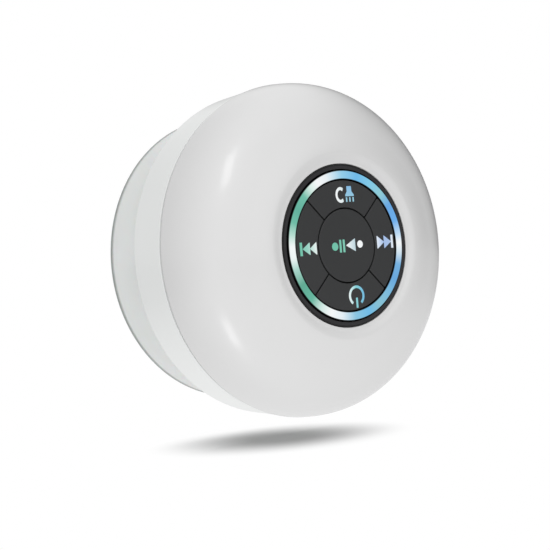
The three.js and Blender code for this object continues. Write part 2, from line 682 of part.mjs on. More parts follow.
const R_STUD = 4.0;
const T_STUD_TIP = 20.9;
const STUD_CHAMFER = 0.5;
const STUD_PROFILE = [
  [0, 11.0], [8.0, 11.0], [8.0, 12.4], [R_STUD, 12.4],
  [R_STUD, T_STUD_TIP - STUD_CHAMFER], [R_STUD - STUD_CHAMFER, T_STUD_TIP], [0, T_STUD_TIP],
];
addSolid(cupGroup, "cup_stud", revolve(STUD_PROFILE, SEG_MID), hardPlastic);

const WASHER_PROFILE = [[4.5, 12.6], [4.5, 13.2], [6.8, 13.2], [6.8, 12.6]];
addSolid(cupGroup, "cup_washer", revolve(WASHER_PROFILE, SEG_MID), silicone);

export default speaker;
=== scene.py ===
"""A round suction-cup speaker with a lit ring and five keys.

It hangs on a wall: its axis lies along Y, the front faces -Y, the cup's lip touches the wall
plane at the largest Y, and Z is up. Seen from the front, +X is on the right, where the port
flap is. Sizes are in millimetres. A "depth" is the distance in front of the wall plane.
"""
import json
import math

import bmesh
import bpy
from mathutils import Matrix, Vector
from mathutils.geometry import tessellate_polygon

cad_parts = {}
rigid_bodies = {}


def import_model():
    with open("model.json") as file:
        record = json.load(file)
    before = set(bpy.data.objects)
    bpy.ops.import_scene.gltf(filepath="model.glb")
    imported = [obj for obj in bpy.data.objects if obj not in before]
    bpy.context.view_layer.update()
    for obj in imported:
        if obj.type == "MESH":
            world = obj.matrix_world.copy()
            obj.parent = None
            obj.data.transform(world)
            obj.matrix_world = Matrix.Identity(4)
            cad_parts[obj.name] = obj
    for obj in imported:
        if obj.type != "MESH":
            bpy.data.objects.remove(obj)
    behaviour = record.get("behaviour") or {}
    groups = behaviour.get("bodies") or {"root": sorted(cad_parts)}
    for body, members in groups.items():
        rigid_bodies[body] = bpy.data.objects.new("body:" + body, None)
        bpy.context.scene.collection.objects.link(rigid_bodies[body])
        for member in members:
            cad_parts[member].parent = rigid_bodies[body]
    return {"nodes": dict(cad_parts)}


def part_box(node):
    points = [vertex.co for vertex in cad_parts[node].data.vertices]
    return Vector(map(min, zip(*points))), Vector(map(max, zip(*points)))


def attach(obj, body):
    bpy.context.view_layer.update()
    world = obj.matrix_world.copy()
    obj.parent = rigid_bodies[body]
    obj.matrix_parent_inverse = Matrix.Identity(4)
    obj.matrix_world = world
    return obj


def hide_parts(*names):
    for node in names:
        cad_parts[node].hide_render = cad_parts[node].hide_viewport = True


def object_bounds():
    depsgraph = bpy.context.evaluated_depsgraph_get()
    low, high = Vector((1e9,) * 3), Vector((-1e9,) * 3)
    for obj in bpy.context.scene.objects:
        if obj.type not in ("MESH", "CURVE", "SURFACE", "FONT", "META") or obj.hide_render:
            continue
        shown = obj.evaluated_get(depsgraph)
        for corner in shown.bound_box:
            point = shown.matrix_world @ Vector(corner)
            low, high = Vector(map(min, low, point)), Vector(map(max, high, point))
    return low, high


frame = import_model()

MM = 0.001
cad_low, cad_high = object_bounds()
WALL = cad_high.y / MM                    # y of the wall plane


def front_depth(piece):
    """Depth of the front of a CAD piece."""
    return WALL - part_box(piece)[0].y / MM


PANEL_DEPTH = front_depth("bezel_ring")
KEY_TOP = front_depth("call_key")
KEY_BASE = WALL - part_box("call_key")[1].y / MM
PLAY_TOP = front_depth("play_key")
LIGHT_DEPTH = front_depth("light_ring")
SEAM_DEPTH = front_depth("rear_housing")
CREST_DEPTH = cad_high.y / MM - cad_low.y / MM
SHELL_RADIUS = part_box("front_shell")[1].x / MM
BEZEL_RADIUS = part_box("bezel_ring")[1].x / MM
CUP_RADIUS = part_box("suction_cup")[1].x / MM
BAND_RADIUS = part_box("rear_housing")[1].z / MM
ROOT = "speaker_body"


# ------------------------------------------------------------------ outlines and profiles
def polar(radius, degrees):
    return (radius * math.cos(math.radians(degrees)), radius * math.sin(math.radians(degrees)))


def arc(x, z, radius, start, end, steps):
    """Points on an arc about (x, z), from start to end in degrees."""
    points = []
    for k in range(steps + 1):
        angle = math.radians(start + (end - start) * k / steps)
        points.append((x + radius * math.cos(angle), z + radius * math.sin(angle)))
    return points


def turned(points, angle, centre=(0, 0)):
    """Points turned about the origin by an angle in radians, then moved to a centre."""
    cos, sin = math.cos(angle), math.sin(angle)
    return [(x * cos - z * sin + centre[0], x * sin + z * cos + centre[1]) for x, z in points]


def fillet(points, closed=True, steps=5):
    """Points are (x, y) or (x, y, radius); corners with a radius are rounded."""
    rounded = []
    count = len(points)
    for i, point in enumerate(points):
        radius = point[2] if len(point) > 2 else 0
        if radius <= 0 or (not closed and i in (0, count - 1)):
            rounded.append(point[:2])
            continue
        before, corner, after = (Vector(points[j % count][:2]) for j in (i - 1, i, i + 1))
        back, ahead = before - corner, after - corner
        room = min(back.length * 0.49, ahead.length * 0.49)
        back.normalize()
        ahead.normalize()
        half = math.acos(max(-1, min(1, back.dot(ahead)))) / 2
        setback = min(radius / math.tan(half), room)
        radius = setback * math.tan(half)
        centre = corner + (back + ahead).normalized() * (radius / math.sin(half))
        first = corner + back * setback - centre
        last = corner + ahead * setback - centre
        start = math.atan2(first.y, first.x)
        sweep = (math.atan2(last.y, last.x) - start + math.pi) % (2 * math.pi) - math.pi
        for k in range(steps + 1):
            angle = start + sweep * k / steps
            rounded.append((centre.x + radius * math.cos(angle),
                            centre.y + radius * math.sin(angle)))
    return rounded


def round_corners(points, radius, steps=4):
    return fillet([(x, z, radius) for x, z in points], True, steps)


def rounded_rect(x0, x1, z0, z1, radius, steps=4):
    return round_corners([(x0, z0), (x1, z0), (x1, z1), (x0, z1)], radius, steps)


def inset_loop(outline, distance):
    """A closed outline moved inwards along its corner normals."""
    count = len(outline)
    area = sum(outline[i][0] * outline[(i + 1) % count][1]
               - outline[(i + 1) % count][0] * outline[i][1] for i in range(count))
    sign = 1 if area > 0 else -1
    moved = []
    for i in range(count):
        before, corner, after = (Vector(outline[j % count]) for j in (i - 1, i, i + 1))
        edge_in, edge_out = (corner - before).normalized(), (after - corner).normalized()
        normal_in = Vector((-edge_in.y, edge_in.x)) * sign
        normal_out = Vector((-edge_out.y, edge_out.x)) * sign
        middle = normal_in + normal_out
        if middle.length < 1e-9:
            middle = normal_in
        middle.normalize()
        reach = distance / max(0.5, middle.dot(normal_in))
        moved.append((corner.x + middle.x * reach, corner.y + middle.y * reach))
    return moved


def smooth_curve(points, steps):
    """A Catmull-Rom curve through the points, with steps pieces in each span."""
    knots = [Vector(p) for p in points]
    knots = [knots[0] * 2 - knots[1]] + knots + [knots[-1] * 2 - knots[-2]]
    curve = []
    for i in range(1, len(knots) - 2):
        before, start, end, after = knots[i - 1:i + 3]
        for k in range(steps):
            u = k / steps
            point = 0.5 * ((2 * start) + (end - before) * u
                           + (2 * before - 5 * start + 4 * end - after) * u * u
                           + (3 * start - before - 3 * end + after) * u ** 3)
            curve.append((point.x, point.y))
    curve.append(tuple(points[-1]))
    return curve


# ------------------------------------------------------------------ solids
def face_outwards(shape):
    bmesh.ops.recalc_face_normals(shape, faces=shape.faces)
    return shape


def join_loops(shape, near, far):
    """Quads between two loops of as many vertices."""
    count = len(near)
    for i in range(count):
        j = (i + 1) % count
        shape.faces.new((near[i], near[j], far[j], far[i]))


def lathe(profile, segments):
    """Solid of revolution about Y; profile is (radius, depth)."""
    shape = bmesh.new()
    rings = []
    for radius, depth in profile:
        y = (WALL - depth) * MM
        if radius < 1e-6:
            rings.append([shape.verts.new((0, y, 0))])
            continue
        angles = [2 * math.pi * k / segments for k in range(segments)]
        rings.append([shape.verts.new((radius * MM * math.cos(a), y, radius * MM * math.sin(a)))
                      for a in angles])
    pairs = list(zip(rings, rings[1:]))
    if not len(rings[0]) == len(rings[-1]) == 1:
        pairs.append((rings[-1], rings[0]))
    for near, far in pairs:
        if len(near) == 1 and len(far) == 1:
            continue
        for k in range(segments):
            j = (k + 1) % segments
            if len(near) == 1:
                shape.faces.new((near[0], far[k], far[j]))
            elif len(far) == 1:
                shape.faces.new((near[k], far[0], near[j]))
            else:
                shape.faces.new((near[k], far[k], far[j], near[j]))
    return face_outwards(shape)


def front_place(x, z, depth):
    return (x * MM, (WALL - depth) * MM, z * MM)


def side_place(z, depth, x):
    """Places a pad's (z, depth) outline so that the pad rises along +X."""
    return (x * MM, (WALL - depth) * MM, z * MM)


def pad(outline, start, end, edge=0, steps=0, place=front_place):
    """A flat pad from start to end; the edge of its end face is rounded by edge."""
    shape = bmesh.new()
    levels = [(0.0, start)]
    if edge > 0:
        for k in range(steps + 1):
            angle = math.pi / 2 * k / steps
            levels.append((edge * (1 - math.cos(angle)), end - edge + edge * math.sin(angle)))
    else:
        levels.append((0.0, end))
    loops = []
    for inset, level in levels:
        loop = inset_loop(outline, inset) if inset > 1e-9 else outline
        loops.append([shape.verts.new(place(x, z, level)) for x, z in loop])
    for near, far in zip(loops, loops[1:]):
        join_loops(shape, near, far)
    for triangle in tessellate_polygon([[Vector((x, z, 0)) for x, z in outline]]):
        if len(set(triangle)) == 3:
            for loop in (loops[0], loops[-1]):
                shape.faces.new([loop[i] for i in triangle])
    return face_outwards(shape)


def box(x0, x1, y0, y1, z0, z1):
    shape = bmesh.new()
    bmesh.ops.create_cube(shape, size=1)
    for v in shape.verts:
        v.co = Vector(((x0 + x1) / 2 + v.co.x * (x1 - x0), (y0 + y1) / 2 + v.co.y * (y1 - y0),
                       (z0 + z1) / 2 + v.co.z * (z1 - z0))) * MM
    return shape


def cylinder(x, z, radius, start, end, segments=32):
    """A cylinder along Y, from one depth to another."""
    shape = bmesh.new()
    angles = [2 * math.pi * k / segments for k in range(segments)]
    near, far = ([shape.verts.new(front_place(x + radius * math.cos(a),
                                              z + radius * math.sin(a), depth))
                  for a in angles] for depth in (start, end))
    join_loops(shape, near, far)
    shape.faces.new(near[::-1])
    shape.faces.new(far)
    return face_outwards(shape)


def merged(shapes):
    """One bmesh holding all the shapes, which are freed."""
    whole = bmesh.new()
    for shape in shapes:
        mesh = bpy.data.meshes.new("t")
        shape.to_mesh(mesh)
        shape.free()
        whole.from_mesh(mesh)
        bpy.data.meshes.remove(mesh)
    return whole


# ------------------------------------------------------------------ objects
def new_object(name, shape):
    face_outwards(shape)
    mesh = bpy.data.meshes.new(name)
    shape.to_mesh(mesh)
    shape.free()
    ob = bpy.data.objects.new(name, mesh)
    bpy.context.scene.collection.objects.link(ob)
    return ob


def shade(ob, angle=32, weighted=True):
    """Smooth shading with edges over angle degrees kept sharp."""
    mesh = ob.data
    mesh.polygons.foreach_set("use_smooth", [True] * len(mesh.polygons))
    mesh.set_sharp_from_angle(angle=math.radians(angle))
    if weighted:
        modifier = ob.modifiers.new("normals", "WEIGHTED_NORMAL")
        modifier.keep_sharp = True
        modifier.weight = 80


def boolean(ob, operation, *shapes):
    """Cuts or joins each closed shape in turn, and bakes the result into the mesh."""
    for shape in shapes:
        tool = new_object("cutter", shape)
        modifier = ob.modifiers.new("cut", "BOOLEAN")
        modifier.operation = operation
        modifier.solver = "EXACT"
        modifier.object = tool
        depsgraph = bpy.context.evaluated_depsgraph_get()
        mesh = bpy.data.meshes.new_from_object(ob.evaluated_get(depsgraph))
        ob.modifiers.clear()
        old = ob.data
        ob.data = mesh
        bpy.data.meshes.remove(old)
        bpy.data.objects.remove(tool)


def finish(ob, material, body, replaced=None, angle=32, weighted=True):
    shade(ob, angle, weighted)
    ob.data.materials.clear()
    ob.data.materials.append(material)
    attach(ob, body)
    if replaced:
        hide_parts(replaced)


# ------------------------------------------------------------------ node helpers
def srgb(red, green, blue):
    """A linear colour from 0-255 sRGB values."""
    def linear(value):
        value /= 255
        return value / 12.92 if value <= 0.04045 else ((value + 0.055) / 1.055) ** 2.4
    return (linear(red), linear(green), linear(blue), 1)


def grey(value):
    return (value, value, value, 1)


class Nodes:
    """Short ways to add and join the nodes of one tree."""

    def __init__(self, tree):
        self.tree = tree

    def feed(self, socket, value):
        """Links an output to the socket, or sets the socket's value."""
        if isinstance(value, bpy.types.NodeSocket):
            self.tree.links.new(value, socket)
        else:
            socket.default_value = value

    def node(self, kind, **settings):
        """Lower-case settings are node properties; the others are inputs, with _ for a space."""
        node = self.tree.nodes.new(kind)
        for key, value in settings.items():
            if key.islower():
                setattr(node, key, value)
            else:
                self.feed(node.inputs[key.replace("_", " ")], value)
        return node

    def calc(self, operation, *values, kind="ShaderNodeMath"):
        node = self.node(kind, operation=operation)
        for i, value in enumerate(values):
            self.feed(node.inputs[i], value)
        return node.outputs["Value"]

    def vector_calc(self, operation, *values):
        return self.calc(operation, *values, kind="ShaderNodeVectorMath")

    def ramp(self, fac, stops, interpolation="LINEAR"):
        """Colour ramp; stops are (position, colour)."""
        node = self.node("ShaderNodeValToRGB", Fac=fac)
        node.color_ramp.interpolation = interpolation
        elements = node.color_ramp.elements
        while len(elements) > 1:
            elements.remove(elements[-1])
        elements[0].position, elements[0].color = stops[0]
        for position, colour in stops[1:]:
            elements.new(position).color = colour
        return node.outputs["Color"]

    def remap(self, value, target=(0, 1), source=(0, 1), smooth=False):
        node = self.node("ShaderNodeMapRange", Value=value,
                         interpolation_type="SMOOTHSTEP" if smooth else "LINEAR",
                         From_Min=source[0], From_Max=source[1],
                         To_Min=target[0], To_Max=target[1])
        return node.outputs["Result"]

    def mix_colour(self, fac, first, second, blend="MIX"):
        node = self.node("ShaderNodeMixRGB", blend_type=blend,
                         Fac=fac, Color1=first, Color2=second)
        return node.outputs["Color"]

    def mix_shader(self, fac, first, second):
        node = self.node("ShaderNodeMixShader", Fac=fac)
        self.feed(node.inputs[1], first)
        self.feed(node.inputs[2], second)
        return node.outputs["Shader"]

    def emission(self, strength):
        return self.node("ShaderNodeEmission", Strength=strength).outputs["Emission"]


class Material(Nodes):
    """A Principled material whose textures are placed by object coordinates."""

    def __init__(self, name):
        self.block = bpy.data.materials.new(name)
        self.block.use_nodes = True
        super().__init__(self.block.node_tree)
        self.principled = self.tree.nodes["Principled BSDF"]
        self.place = self.node("ShaderNodeTexCoord").outputs["Object"]

    def set(self, **inputs):
        for key, value in inputs.items():
            self.feed(self.principled.inputs[key.replace("_", " ")], value)

    def set_surface(self, shader):
        self.feed(self.tree.nodes["Material Output"].inputs["Surface"], shader)

    def noise(self, scale, detail=3, roughness=0.5, vector=None):
        node = self.node("ShaderNodeTexNoise", Scale=scale, Detail=detail, Roughness=roughness,
                         Vector=vector or self.place)
        return node.outputs["Fac"]

    def wave(self, scale, direction):
        node = self.node("ShaderNodeTexWave", Scale=scale, bands_direction=direction,
                         Vector=self.place)
        return node.outputs["Fac"]

    def voronoi(self, scale, **settings):
        node = self.node("ShaderNodeTexVoronoi", Scale=scale, Vector=self.place, **settings)
        return node.outputs["Distance"]

    def bump(self, height, strength, distance):
        """distance is in metres."""
        node = self.node("ShaderNodeBump", Strength=strength, Distance=distance, Height=height)
        return node.outputs["Normal"]

    def axes(self):
        return self.node("ShaderNodeSeparateXYZ", Vector=self.place).outputs

    def axis_radius(self, axes):
        """Distance from the Y axis, in metres."""
        flat = self.node("ShaderNodeCombineXYZ", X=axes["X"], Z=axes["Z"])
        return self.vector_calc("LENGTH", flat.outputs["Vector"])


# ------------------------------------------------------------------ materials
def plastic(name, colour, roughness, spread, grain, grain_scale, tint,
            coat=0.0, coat_roughness=0.1, subsurface=0.0):
    """Moulded plastic: faint mottling in colour and roughness, and a fine surface grain."""
    mat = Material(name)
    base = srgb(*colour)[:3]
    darker = [max(0, c * (1 - tint)) for c in base] + [1]
    lighter = [min(1, c * (1 + tint)) for c in base] + [1]
    mottling = mat.noise(scale=45, detail=4)
    mat.set(Base_Color=mat.ramp(mottling, [(0.3, darker), (0.7, lighter)]),
            Roughness=mat.remap(mat.noise(scale=220), (roughness - spread, roughness + spread)),
            Normal=mat.bump(mat.noise(grain_scale, detail=2), grain, distance=0.00005),
            Coat_Weight=coat, Coat_Roughness=coat_roughness)
    if subsurface:
        mat.set(Subsurface_Weight=subsurface, Subsurface_Scale=0.004,
                Subsurface_Radius=(1.0, 0.95, 0.9))
    return mat.block


# name: (sRGB colour, roughness, its spread, grain strength, grain scale, tint spread), extras
PLASTICS = {
    "soft_touch_white": (((227, 227, 227), 0.34, 0.02, 0.03, 4500, 0.006),
                         dict(coat=0.6, coat_roughness=0.15)),
    "gloss_white": (((246, 248, 247), 0.3, 0.03, 0.02, 3000, 0.01),
                    dict(coat=0.5, coat_roughness=0.22)),
    "key_rubber": (((46, 47, 48), 0.62, 0.05, 0.12, 7000, 0.05), {}),
    "silicone_black": (((12, 12, 13), 0.7, 0.05, 0.05, 4000, 0.1), {}),
    "flap_rubber": (((226, 228, 227), 0.45, 0.05, 0.08, 5000, 0.01), {}),
    "hard_natural": (((222, 226, 224), 0.3, 0.04, 0.03, 3000, 0.01), dict(subsurface=0.1)),
    "foam_black": (((38, 38, 40), 0.95, 0.04, 0.8, 2500, 0.2), {}),
    "epoxy_black": (((30, 31, 33), 0.5, 0.06, 0.2, 6000, 0.08), {}),
    "wire_red": (((176, 34, 30), 0.42, 0.05, 0.03, 3000, 0.05), {}),
    "wire_black": (((24, 24, 25), 0.42, 0.05, 0.03, 3000, 0.05), {}),
    "led_body": (((240, 238, 225), 0.3, 0.05, 0.02, 3000, 0.02), dict(subsurface=0.2)),
}
plastics = {name: plastic(name, *row, **extras) for name, (row, extras) in PLASTICS.items()}


def cup_material():
    """Milky soft rubber that lets light through, with faint flow marks and painted shade: a dark
    outline along the lip, in place of the shade its thin edge shows.
    """
    mat = Material("milky_rubber")
    # painted shade: the outermost rim of the lip is darkened to grey to stand in for the dark
    # outline light gives the thin edge
    lip = mat.remap(mat.axis_radius(mat.axes()), source=(38.2 * MM, 38.45 * MM))
    milky = mat.ramp(mat.noise(scale=60, detail=4),
                     [(0.3, srgb(247, 249, 248)), (0.7, srgb(251, 252, 252))])
    mat.set(Base_Color=mat.mix_colour(lip, milky, srgb(118, 126, 123)),
            Roughness=mat.remap(mat.noise(scale=180), (0.18, 0.26)),
            Coat_Weight=0.4, Coat_Roughness=0.08,
            Subsurface_Weight=0.12, Subsurface_Scale=0.003,
            Normal=mat.bump(mat.noise(scale=900), strength=0.04, distance=0.0001))
    through = mat.node("ShaderNodeBsdfTranslucent", Color=srgb(251, 253, 252))
    mat.set_surface(mat.mix_shader(0.4, mat.principled.outputs["BSDF"], through.outputs["BSDF"]))
    return mat.block


def metal(name, colour, roughness, scale, stretch):
    """Plated or machined metal: fine streaks in roughness and a faint bump."""
    mat = Material(name)
    stretched = mat.node("ShaderNodeMapping", Scale=stretch, Vector=mat.place).outputs["Vector"]
    streaks = mat.noise(scale, detail=5, roughness=0.6, vector=stretched)
    colour = srgb(*colour)
    darker = [c * 0.9 for c in colour[:3]] + [1]
    mat.set(Base_Color=mat.ramp(mat.noise(scale=90), [(0.35, darker), (0.65, colour)]),
            Roughness=mat.remap(streaks, (roughness - 0.08, roughness + 0.1)),
            Metallic=1.0, Normal=mat.bump(streaks, strength=0.06, distance=0.00005))
    return mat.block


def ferrite_material():
    mat = Material("ferrite")
    cells = mat.voronoi(scale=1600)
    mat.set(Base_Color=mat.ramp(cells, [(0.0, srgb(46, 46, 50)), (0.6, srgb(62, 61, 66))]),
            Roughness=mat.remap(cells, (0.5, 0.75)), Metallic=0.15,
            Normal=mat.bump(cells, strength=0.25, distance=0.00008))
    return mat.block


def board_material():
    """Solder mask over copper tracks."""
    mat = Material("solder_mask")
    edges = mat.voronoi(scale=420, feature="DISTANCE_TO_EDGE")
    track = mat.ramp(edges, [(0.05, grey(1)), (0.12, grey(0))])
    mat.set(Base_Color=mat.mix_colour(track, srgb(24, 84, 54), srgb(46, 120, 74)),
            Roughness=mat.remap(mat.noise(scale=300), (0.28, 0.42)),
            Normal=mat.bump(track, strength=0.2, distance=0.00004), Coat_Weight=0.3)
    return mat.block


def cloth_material(name, dark, light, scale):
    """A fine weave: two crossed wave bands."""
    mat = Material(name)
    weave = mat.calc("MULTIPLY", mat.wave(scale, "X"), mat.wave(scale, "Z"))
    mat.set(Base_Color=mat.ramp(weave, [(0.0, srgb(*dark)), (0.8, srgb(*light))]),
            Roughness=0.85, Normal=mat.bump(weave, strength=0.6, distance=0.0001))
    return mat.block


def paper_material():
    mat = Material("cone_paper")
    fibre = mat.noise(scale=1400, detail=6, roughness=0.7)
    mat.set(Base_Color=mat.ramp(fibre, [(0.3, srgb(34, 34, 37)), (0.7, srgb(52, 52, 56))]),
            Roughness=mat.remap(fibre, (0.75, 0.95)),
            Normal=mat.bump(fibre, strength=0.5, distance=0.00015))
    return mat.block


def flex_material():
    """Amber film with tracks across it."""
    mat = Material("polyimide")
    tracks = mat.wave(320, "Z")
    mat.set(Base_Color=mat.ramp(tracks, [(0.3, srgb(150, 92, 30)), (0.6, srgb(196, 136, 58))]),
            Roughness=0.3, Coat_Weight=0.5,
            Normal=mat.bump(tracks, strength=0.15, distance=0.00005))
    return mat.block


def cell_material():
    mat = Material("cell_wrap")
    creases = mat.noise(scale=260, detail=5, roughness=0.6)
    mat.set(Base_Color=mat.ramp(creases, [(0.3, srgb(140, 150, 163)), (0.7, srgb(172, 180, 190))]),
            Metallic=0.75, Roughness=mat.remap(creases, (0.25, 0.42)),
            Normal=mat.bump(creases, strength=0.15, distance=0.0002))
    return mat.block


def bezel_material():
    """Satin charcoal face whose outer rim is darkened to black as painted shadow from the gap to
    the shell.
    """
    mat = Material("bezel_shadow_edged")
    # painted shadow: the face turns black at its outer edge, where the gap to the shell falls into
    # shade
    edge = mat.remap(mat.axis_radius(mat.axes()), source=(19.72 * MM, 19.84 * MM))
    mottling = mat.noise(scale=240, detail=4)
    face = mat.ramp(mottling, [(0.3, srgb(44, 44, 46)), (0.7, srgb(49, 48, 50))])
    mat.set(Base_Color=mat.mix_colour(edge, face, srgb(9, 9, 10)),
            Roughness=mat.remap(mottling, (0.42, 0.52)), Specular_IOR_Level=0.35,
            Normal=mat.bump(mat.noise(scale=6000, detail=2), strength=0.08, distance=0.00005))
    return mat.block


WHITE = (250, 252, 253)
# (degrees clockwise from the top, seen from the front; sRGB colour)
RING_COLOURS = [
    (0, (150, 209, 238)), (16, (112, 189, 237)), (32, (132, 205, 234)), (45, (146, 207, 217)),
    (58, (106, 170, 230)), (72, (108, 176, 240)), (84, (196, 224, 247)), (91, WHITE),
    (99, (214, 232, 243)), (109, (118, 180, 228)), (122, (104, 169, 224)),
    (136, (126, 190, 224)), (150, (136, 196, 214)), (163, (112, 190, 234)),
    (178, (140, 200, 228)), (192, (232, 243, 249)), (204, WHITE), (214, (214, 238, 232)),
    (226, (102, 186, 162)), (241, (96, 172, 148)), (254, (172, 217, 206)),
    (263, (242, 249, 249)), (272, WHITE), (281, (186, 226, 213)), (291, (112, 192, 169)),
    (302, (99, 180, 159)), (315, (114, 194, 171)), (325, (222, 243, 236)), (333, WHITE),
    (343, (238, 245, 248)), (352, (196, 227, 243)), (360, (150, 209, 238)),
]


def light_material():
    """A lit diffuser whose colour runs round the ring; only its front face glows."""
    mat = Material("lit_ring")
    axes = mat.axes()
    angle = mat.calc("ARCTAN2", axes["X"], axes["Z"])
    turn = mat.calc("FRACT", mat.calc("MULTIPLY", angle, 1 / (2 * math.pi)))
    colour = mat.ramp(turn, [(degrees / 360, srgb(*rgb)) for degrees, rgb in RING_COLOURS])
    radius = mat.axis_radius(axes)
    # the glow fades in from the inner and the outer rim
    rims = [mat.remap(radius, source=(dark * MM, lit * MM))
            for dark, lit in ((16.5, 16.62), (18.5, 18.38))]
    strength = mat.remap(axes["Y"], source=((WALL - LIGHT_DEPTH + 0.3) * MM,
                                            (WALL - LIGHT_DEPTH + 0.12) * MM))
    for rim in rims:
        strength = mat.calc("MULTIPLY", strength, rim)
    mat.set(Base_Color=srgb(12, 12, 13), Roughness=mat.remap(mat.noise(scale=300), (0.25, 0.35)),
            Emission_Color=colour, Emission_Strength=mat.calc("MULTIPLY", strength, 0.95),
            Normal=mat.bump(mat.noise(scale=2500, detail=2), strength=0.03, distance=0.00005),
            Specular_IOR_Level=0.2)
    return mat.block


def glow(name, axis, low, high, stops):
    """Lit symbol: its colour runs along one axis from low to high."""
    mat = Material(name)
    along = mat.remap(mat.axes()[axis], source=(low * MM, high * MM))
    mat.set(Base_Color=srgb(60, 64, 66),
            Roughness=mat.remap(mat.noise(scale=400, detail=2), (0.35, 0.5)),
            Emission_Color=mat.ramp(along, [(at, srgb(*rgb)) for at, rgb in stops]),
            Emission_Strength=0.9)
    return mat.block


steel = metal("plated_steel", (190, 192, 195), roughness=0.3, scale=700, stretch=(1, 6, 1))
tin = metal("tin_shell", (200, 201, 203), roughness=0.26, scale=1200, stretch=(1, 8, 1))
copper = metal("enamelled_copper", (186, 108, 62), roughness=0.35, scale=2500,
               stretch=(0.2, 9, 0.2))
screen_cloth = cloth_material("screen_cloth", dark=(20, 20, 21), light=(58, 58, 60), scale=900)
spider_cloth = cloth_material("spider_cloth", dark=(140, 92, 48), light=(196, 146, 88), scale=700)

# ------------------------------------------------------------------ pieces kept from the CAD
KEPT_PIECES = [
    (plastics["silicone_black"], ["case_seal", "keypad_mat", "surround"]),
    (steel, ["driver_basket", "driver_top_plate", "driver_yoke"]
     + [f"board_screw_{i}" for i in range(1, 6)]),
    (tin, ["usb_socket", "microphone"]
     + ["switch_" + key for key in ("play", "call", "next", "power", "prev")]),
    (plastics["led_body"], [f"led_{i}" for i in range(1, 7)]),
    (board_material(), ["key_board", "main_board"]),
    (plastics["epoxy_black"], ["radio_chip", "amplifier_chip"]),
    (cell_material(), ["battery_cell"]),
    (plastics["foam_black"], ["battery_pad", "driver_gasket"]),
    (flex_material(), ["ribbon_cable"]),
    (plastics["wire_red"], ["battery_lead_red", "speaker_lead_red"]),
    (plastics["wire_black"], ["battery_lead_black", "speaker_lead_black"]),
    (ferrite_material(), ["driver_magnet"]),
    (screen_cloth, ["acoustic_mesh"]),
    (spider_cloth, ["spider"]),
    (copper, ["voice_coil"]),
    (paper_material(), ["cone", "dust_cap"]),
]
for material, names in KEPT_PIECES:
    for name in names:
        piece = frame["nodes"][name]
        if not piece.material_slots:
            piece.data.materials.append(material)
        for slot in piece.material_slots:
            slot.link = "OBJECT"
            slot.material = material

# ------------------------------------------------------------------ front shell
CREST_RADIUS = 23.2                       # the crest, the shell's foremost circle
CREST_RISE = CREST_DEPTH - PANEL_DEPTH
OPENING_RADIUS = BEZEL_RADIUS + 0.1
DOME_DROP = 20.64                         # fall of the dome out to its rim
DOME_FLAT_RADIUS = 13.3                   # the fall starts here
DOME_POWER = 2.8                          # superellipse exponent
DOME_BLEND_RADIUS = 31                    # the rise to the crest starts here
DOME_RINGS = 70
SKIN = 2.2                                # shell thickness
CASE_SCREWS = [polar(33.5, a) for a in (45, 135, 225, 315)]
FRONT_BOSSES = [polar(22.6, a) for a in (90, 210, 330)]


def dome_base(radius):
    u = min(1, max(0, (radius - DOME_FLAT_RADIUS) / (SHELL_RADIUS - DOME_FLAT_RADIUS)))
    return DOME_DROP - DOME_DROP * (1 - u ** DOME_POWER) ** (1 / DOME_POWER)


def dome(radius):
    """How far the dome lies behind the panel at a radius; negative near the crest."""
    k = (DOME_BLEND_RADIUS - radius) / (DOME_BLEND_RADIUS - CREST_RADIUS)
    k = min(1, max(0, k))
    return dome_base(radius) - (CREST_RISE + dome_base(CREST_RADIUS)) * k * k * (3 - 2 * k)


def dome_slope(radius, step):
    return (dome(radius + step) - dome(radius - step)) / (2 * step)


def shell_profile():
    lip = OPENING_RADIUS
    crest = PANEL_DEPTH + CREST_RISE
    points = [(18.9, 44.4), (18.9, 46.6), (lip, 46.6), (lip, 48.84), (lip + 0.05, 48.92),
              (lip + 0.16, 48.95)]
    points += fillet([(lip + 0.16, 48.95), (lip + 0.95, 48.98, 0.8),
                      (CREST_RADIUS - 0.75, crest - 0.12, 0.6), (CREST_RADIUS, crest)],
                     False, 6)[1:]
    for k in range(1, DOME_RINGS + 1):
        angle = math.pi / 2 * k / DOME_RINGS
        radius = CREST_RADIUS + (SHELL_RADIUS - CREST_RADIUS) * math.sin(angle) ** 1.15
        limit = SHELL_RADIUS - 1e-4 if k < DOME_RINGS else SHELL_RADIUS
        points.append((min(radius, limit), PANEL_DEPTH - dome(min(radius, SHELL_RADIUS))))
    # the dome stops short of the rim, whose points are listed below
    points = [p for p in points if p[1] > 31.9 or p[0] < 30]
    points += [(SHELL_RADIUS, 31.5), (SHELL_RADIUS - 0.03, 31.36), (SHELL_RADIUS - 0.1, 31.26),
               (SHELL_RADIUS - 0.22, 31.2), (40.75, 31.15), (40.75, 29.3), (39.65, 29.3),
               (39.65, 34.0)]
    for radius in (39.8, 38.6, 36.5, 33.6, 30.5, 28.2):      # inside, one skin below the dome
        slope = dome_slope(radius, 0.05)
        length = math.hypot(1, slope)
        points.append((radius - SKIN * slope / length,
                       PANEL_DEPTH - dome(radius) - SKIN / length))
    return points + [(26.0, 46.2), (25.2, 44.4)]


def build_front_shell():
    shell = new_object("dome_shell", lathe(shell_profile(), 256))
    shade(shell, 40, weighted=False)
    bosses = [cylinder(x, z, 3.0, 28.3, 41.6) for x, z in CASE_SCREWS]
    bosses += [cylinder(x, z, 2.1, 42.35, 45) for x, z in FRONT_BOSSES]
    boolean(shell, "UNION", merged(bosses))
    holes = [cylinder(x, z, 1.45, 27, 35) for x, z in CASE_SCREWS]
    holes += [cylinder(x, z, 0.95, 41, 46.4) for x, z in FRONT_BOSSES]
    boolean(shell, "DIFFERENCE", merged(holes))
    finish(shell, plastics["soft_touch_white"], ROOT, "front_shell",
           angle=40, weighted=False)


build_front_shell()

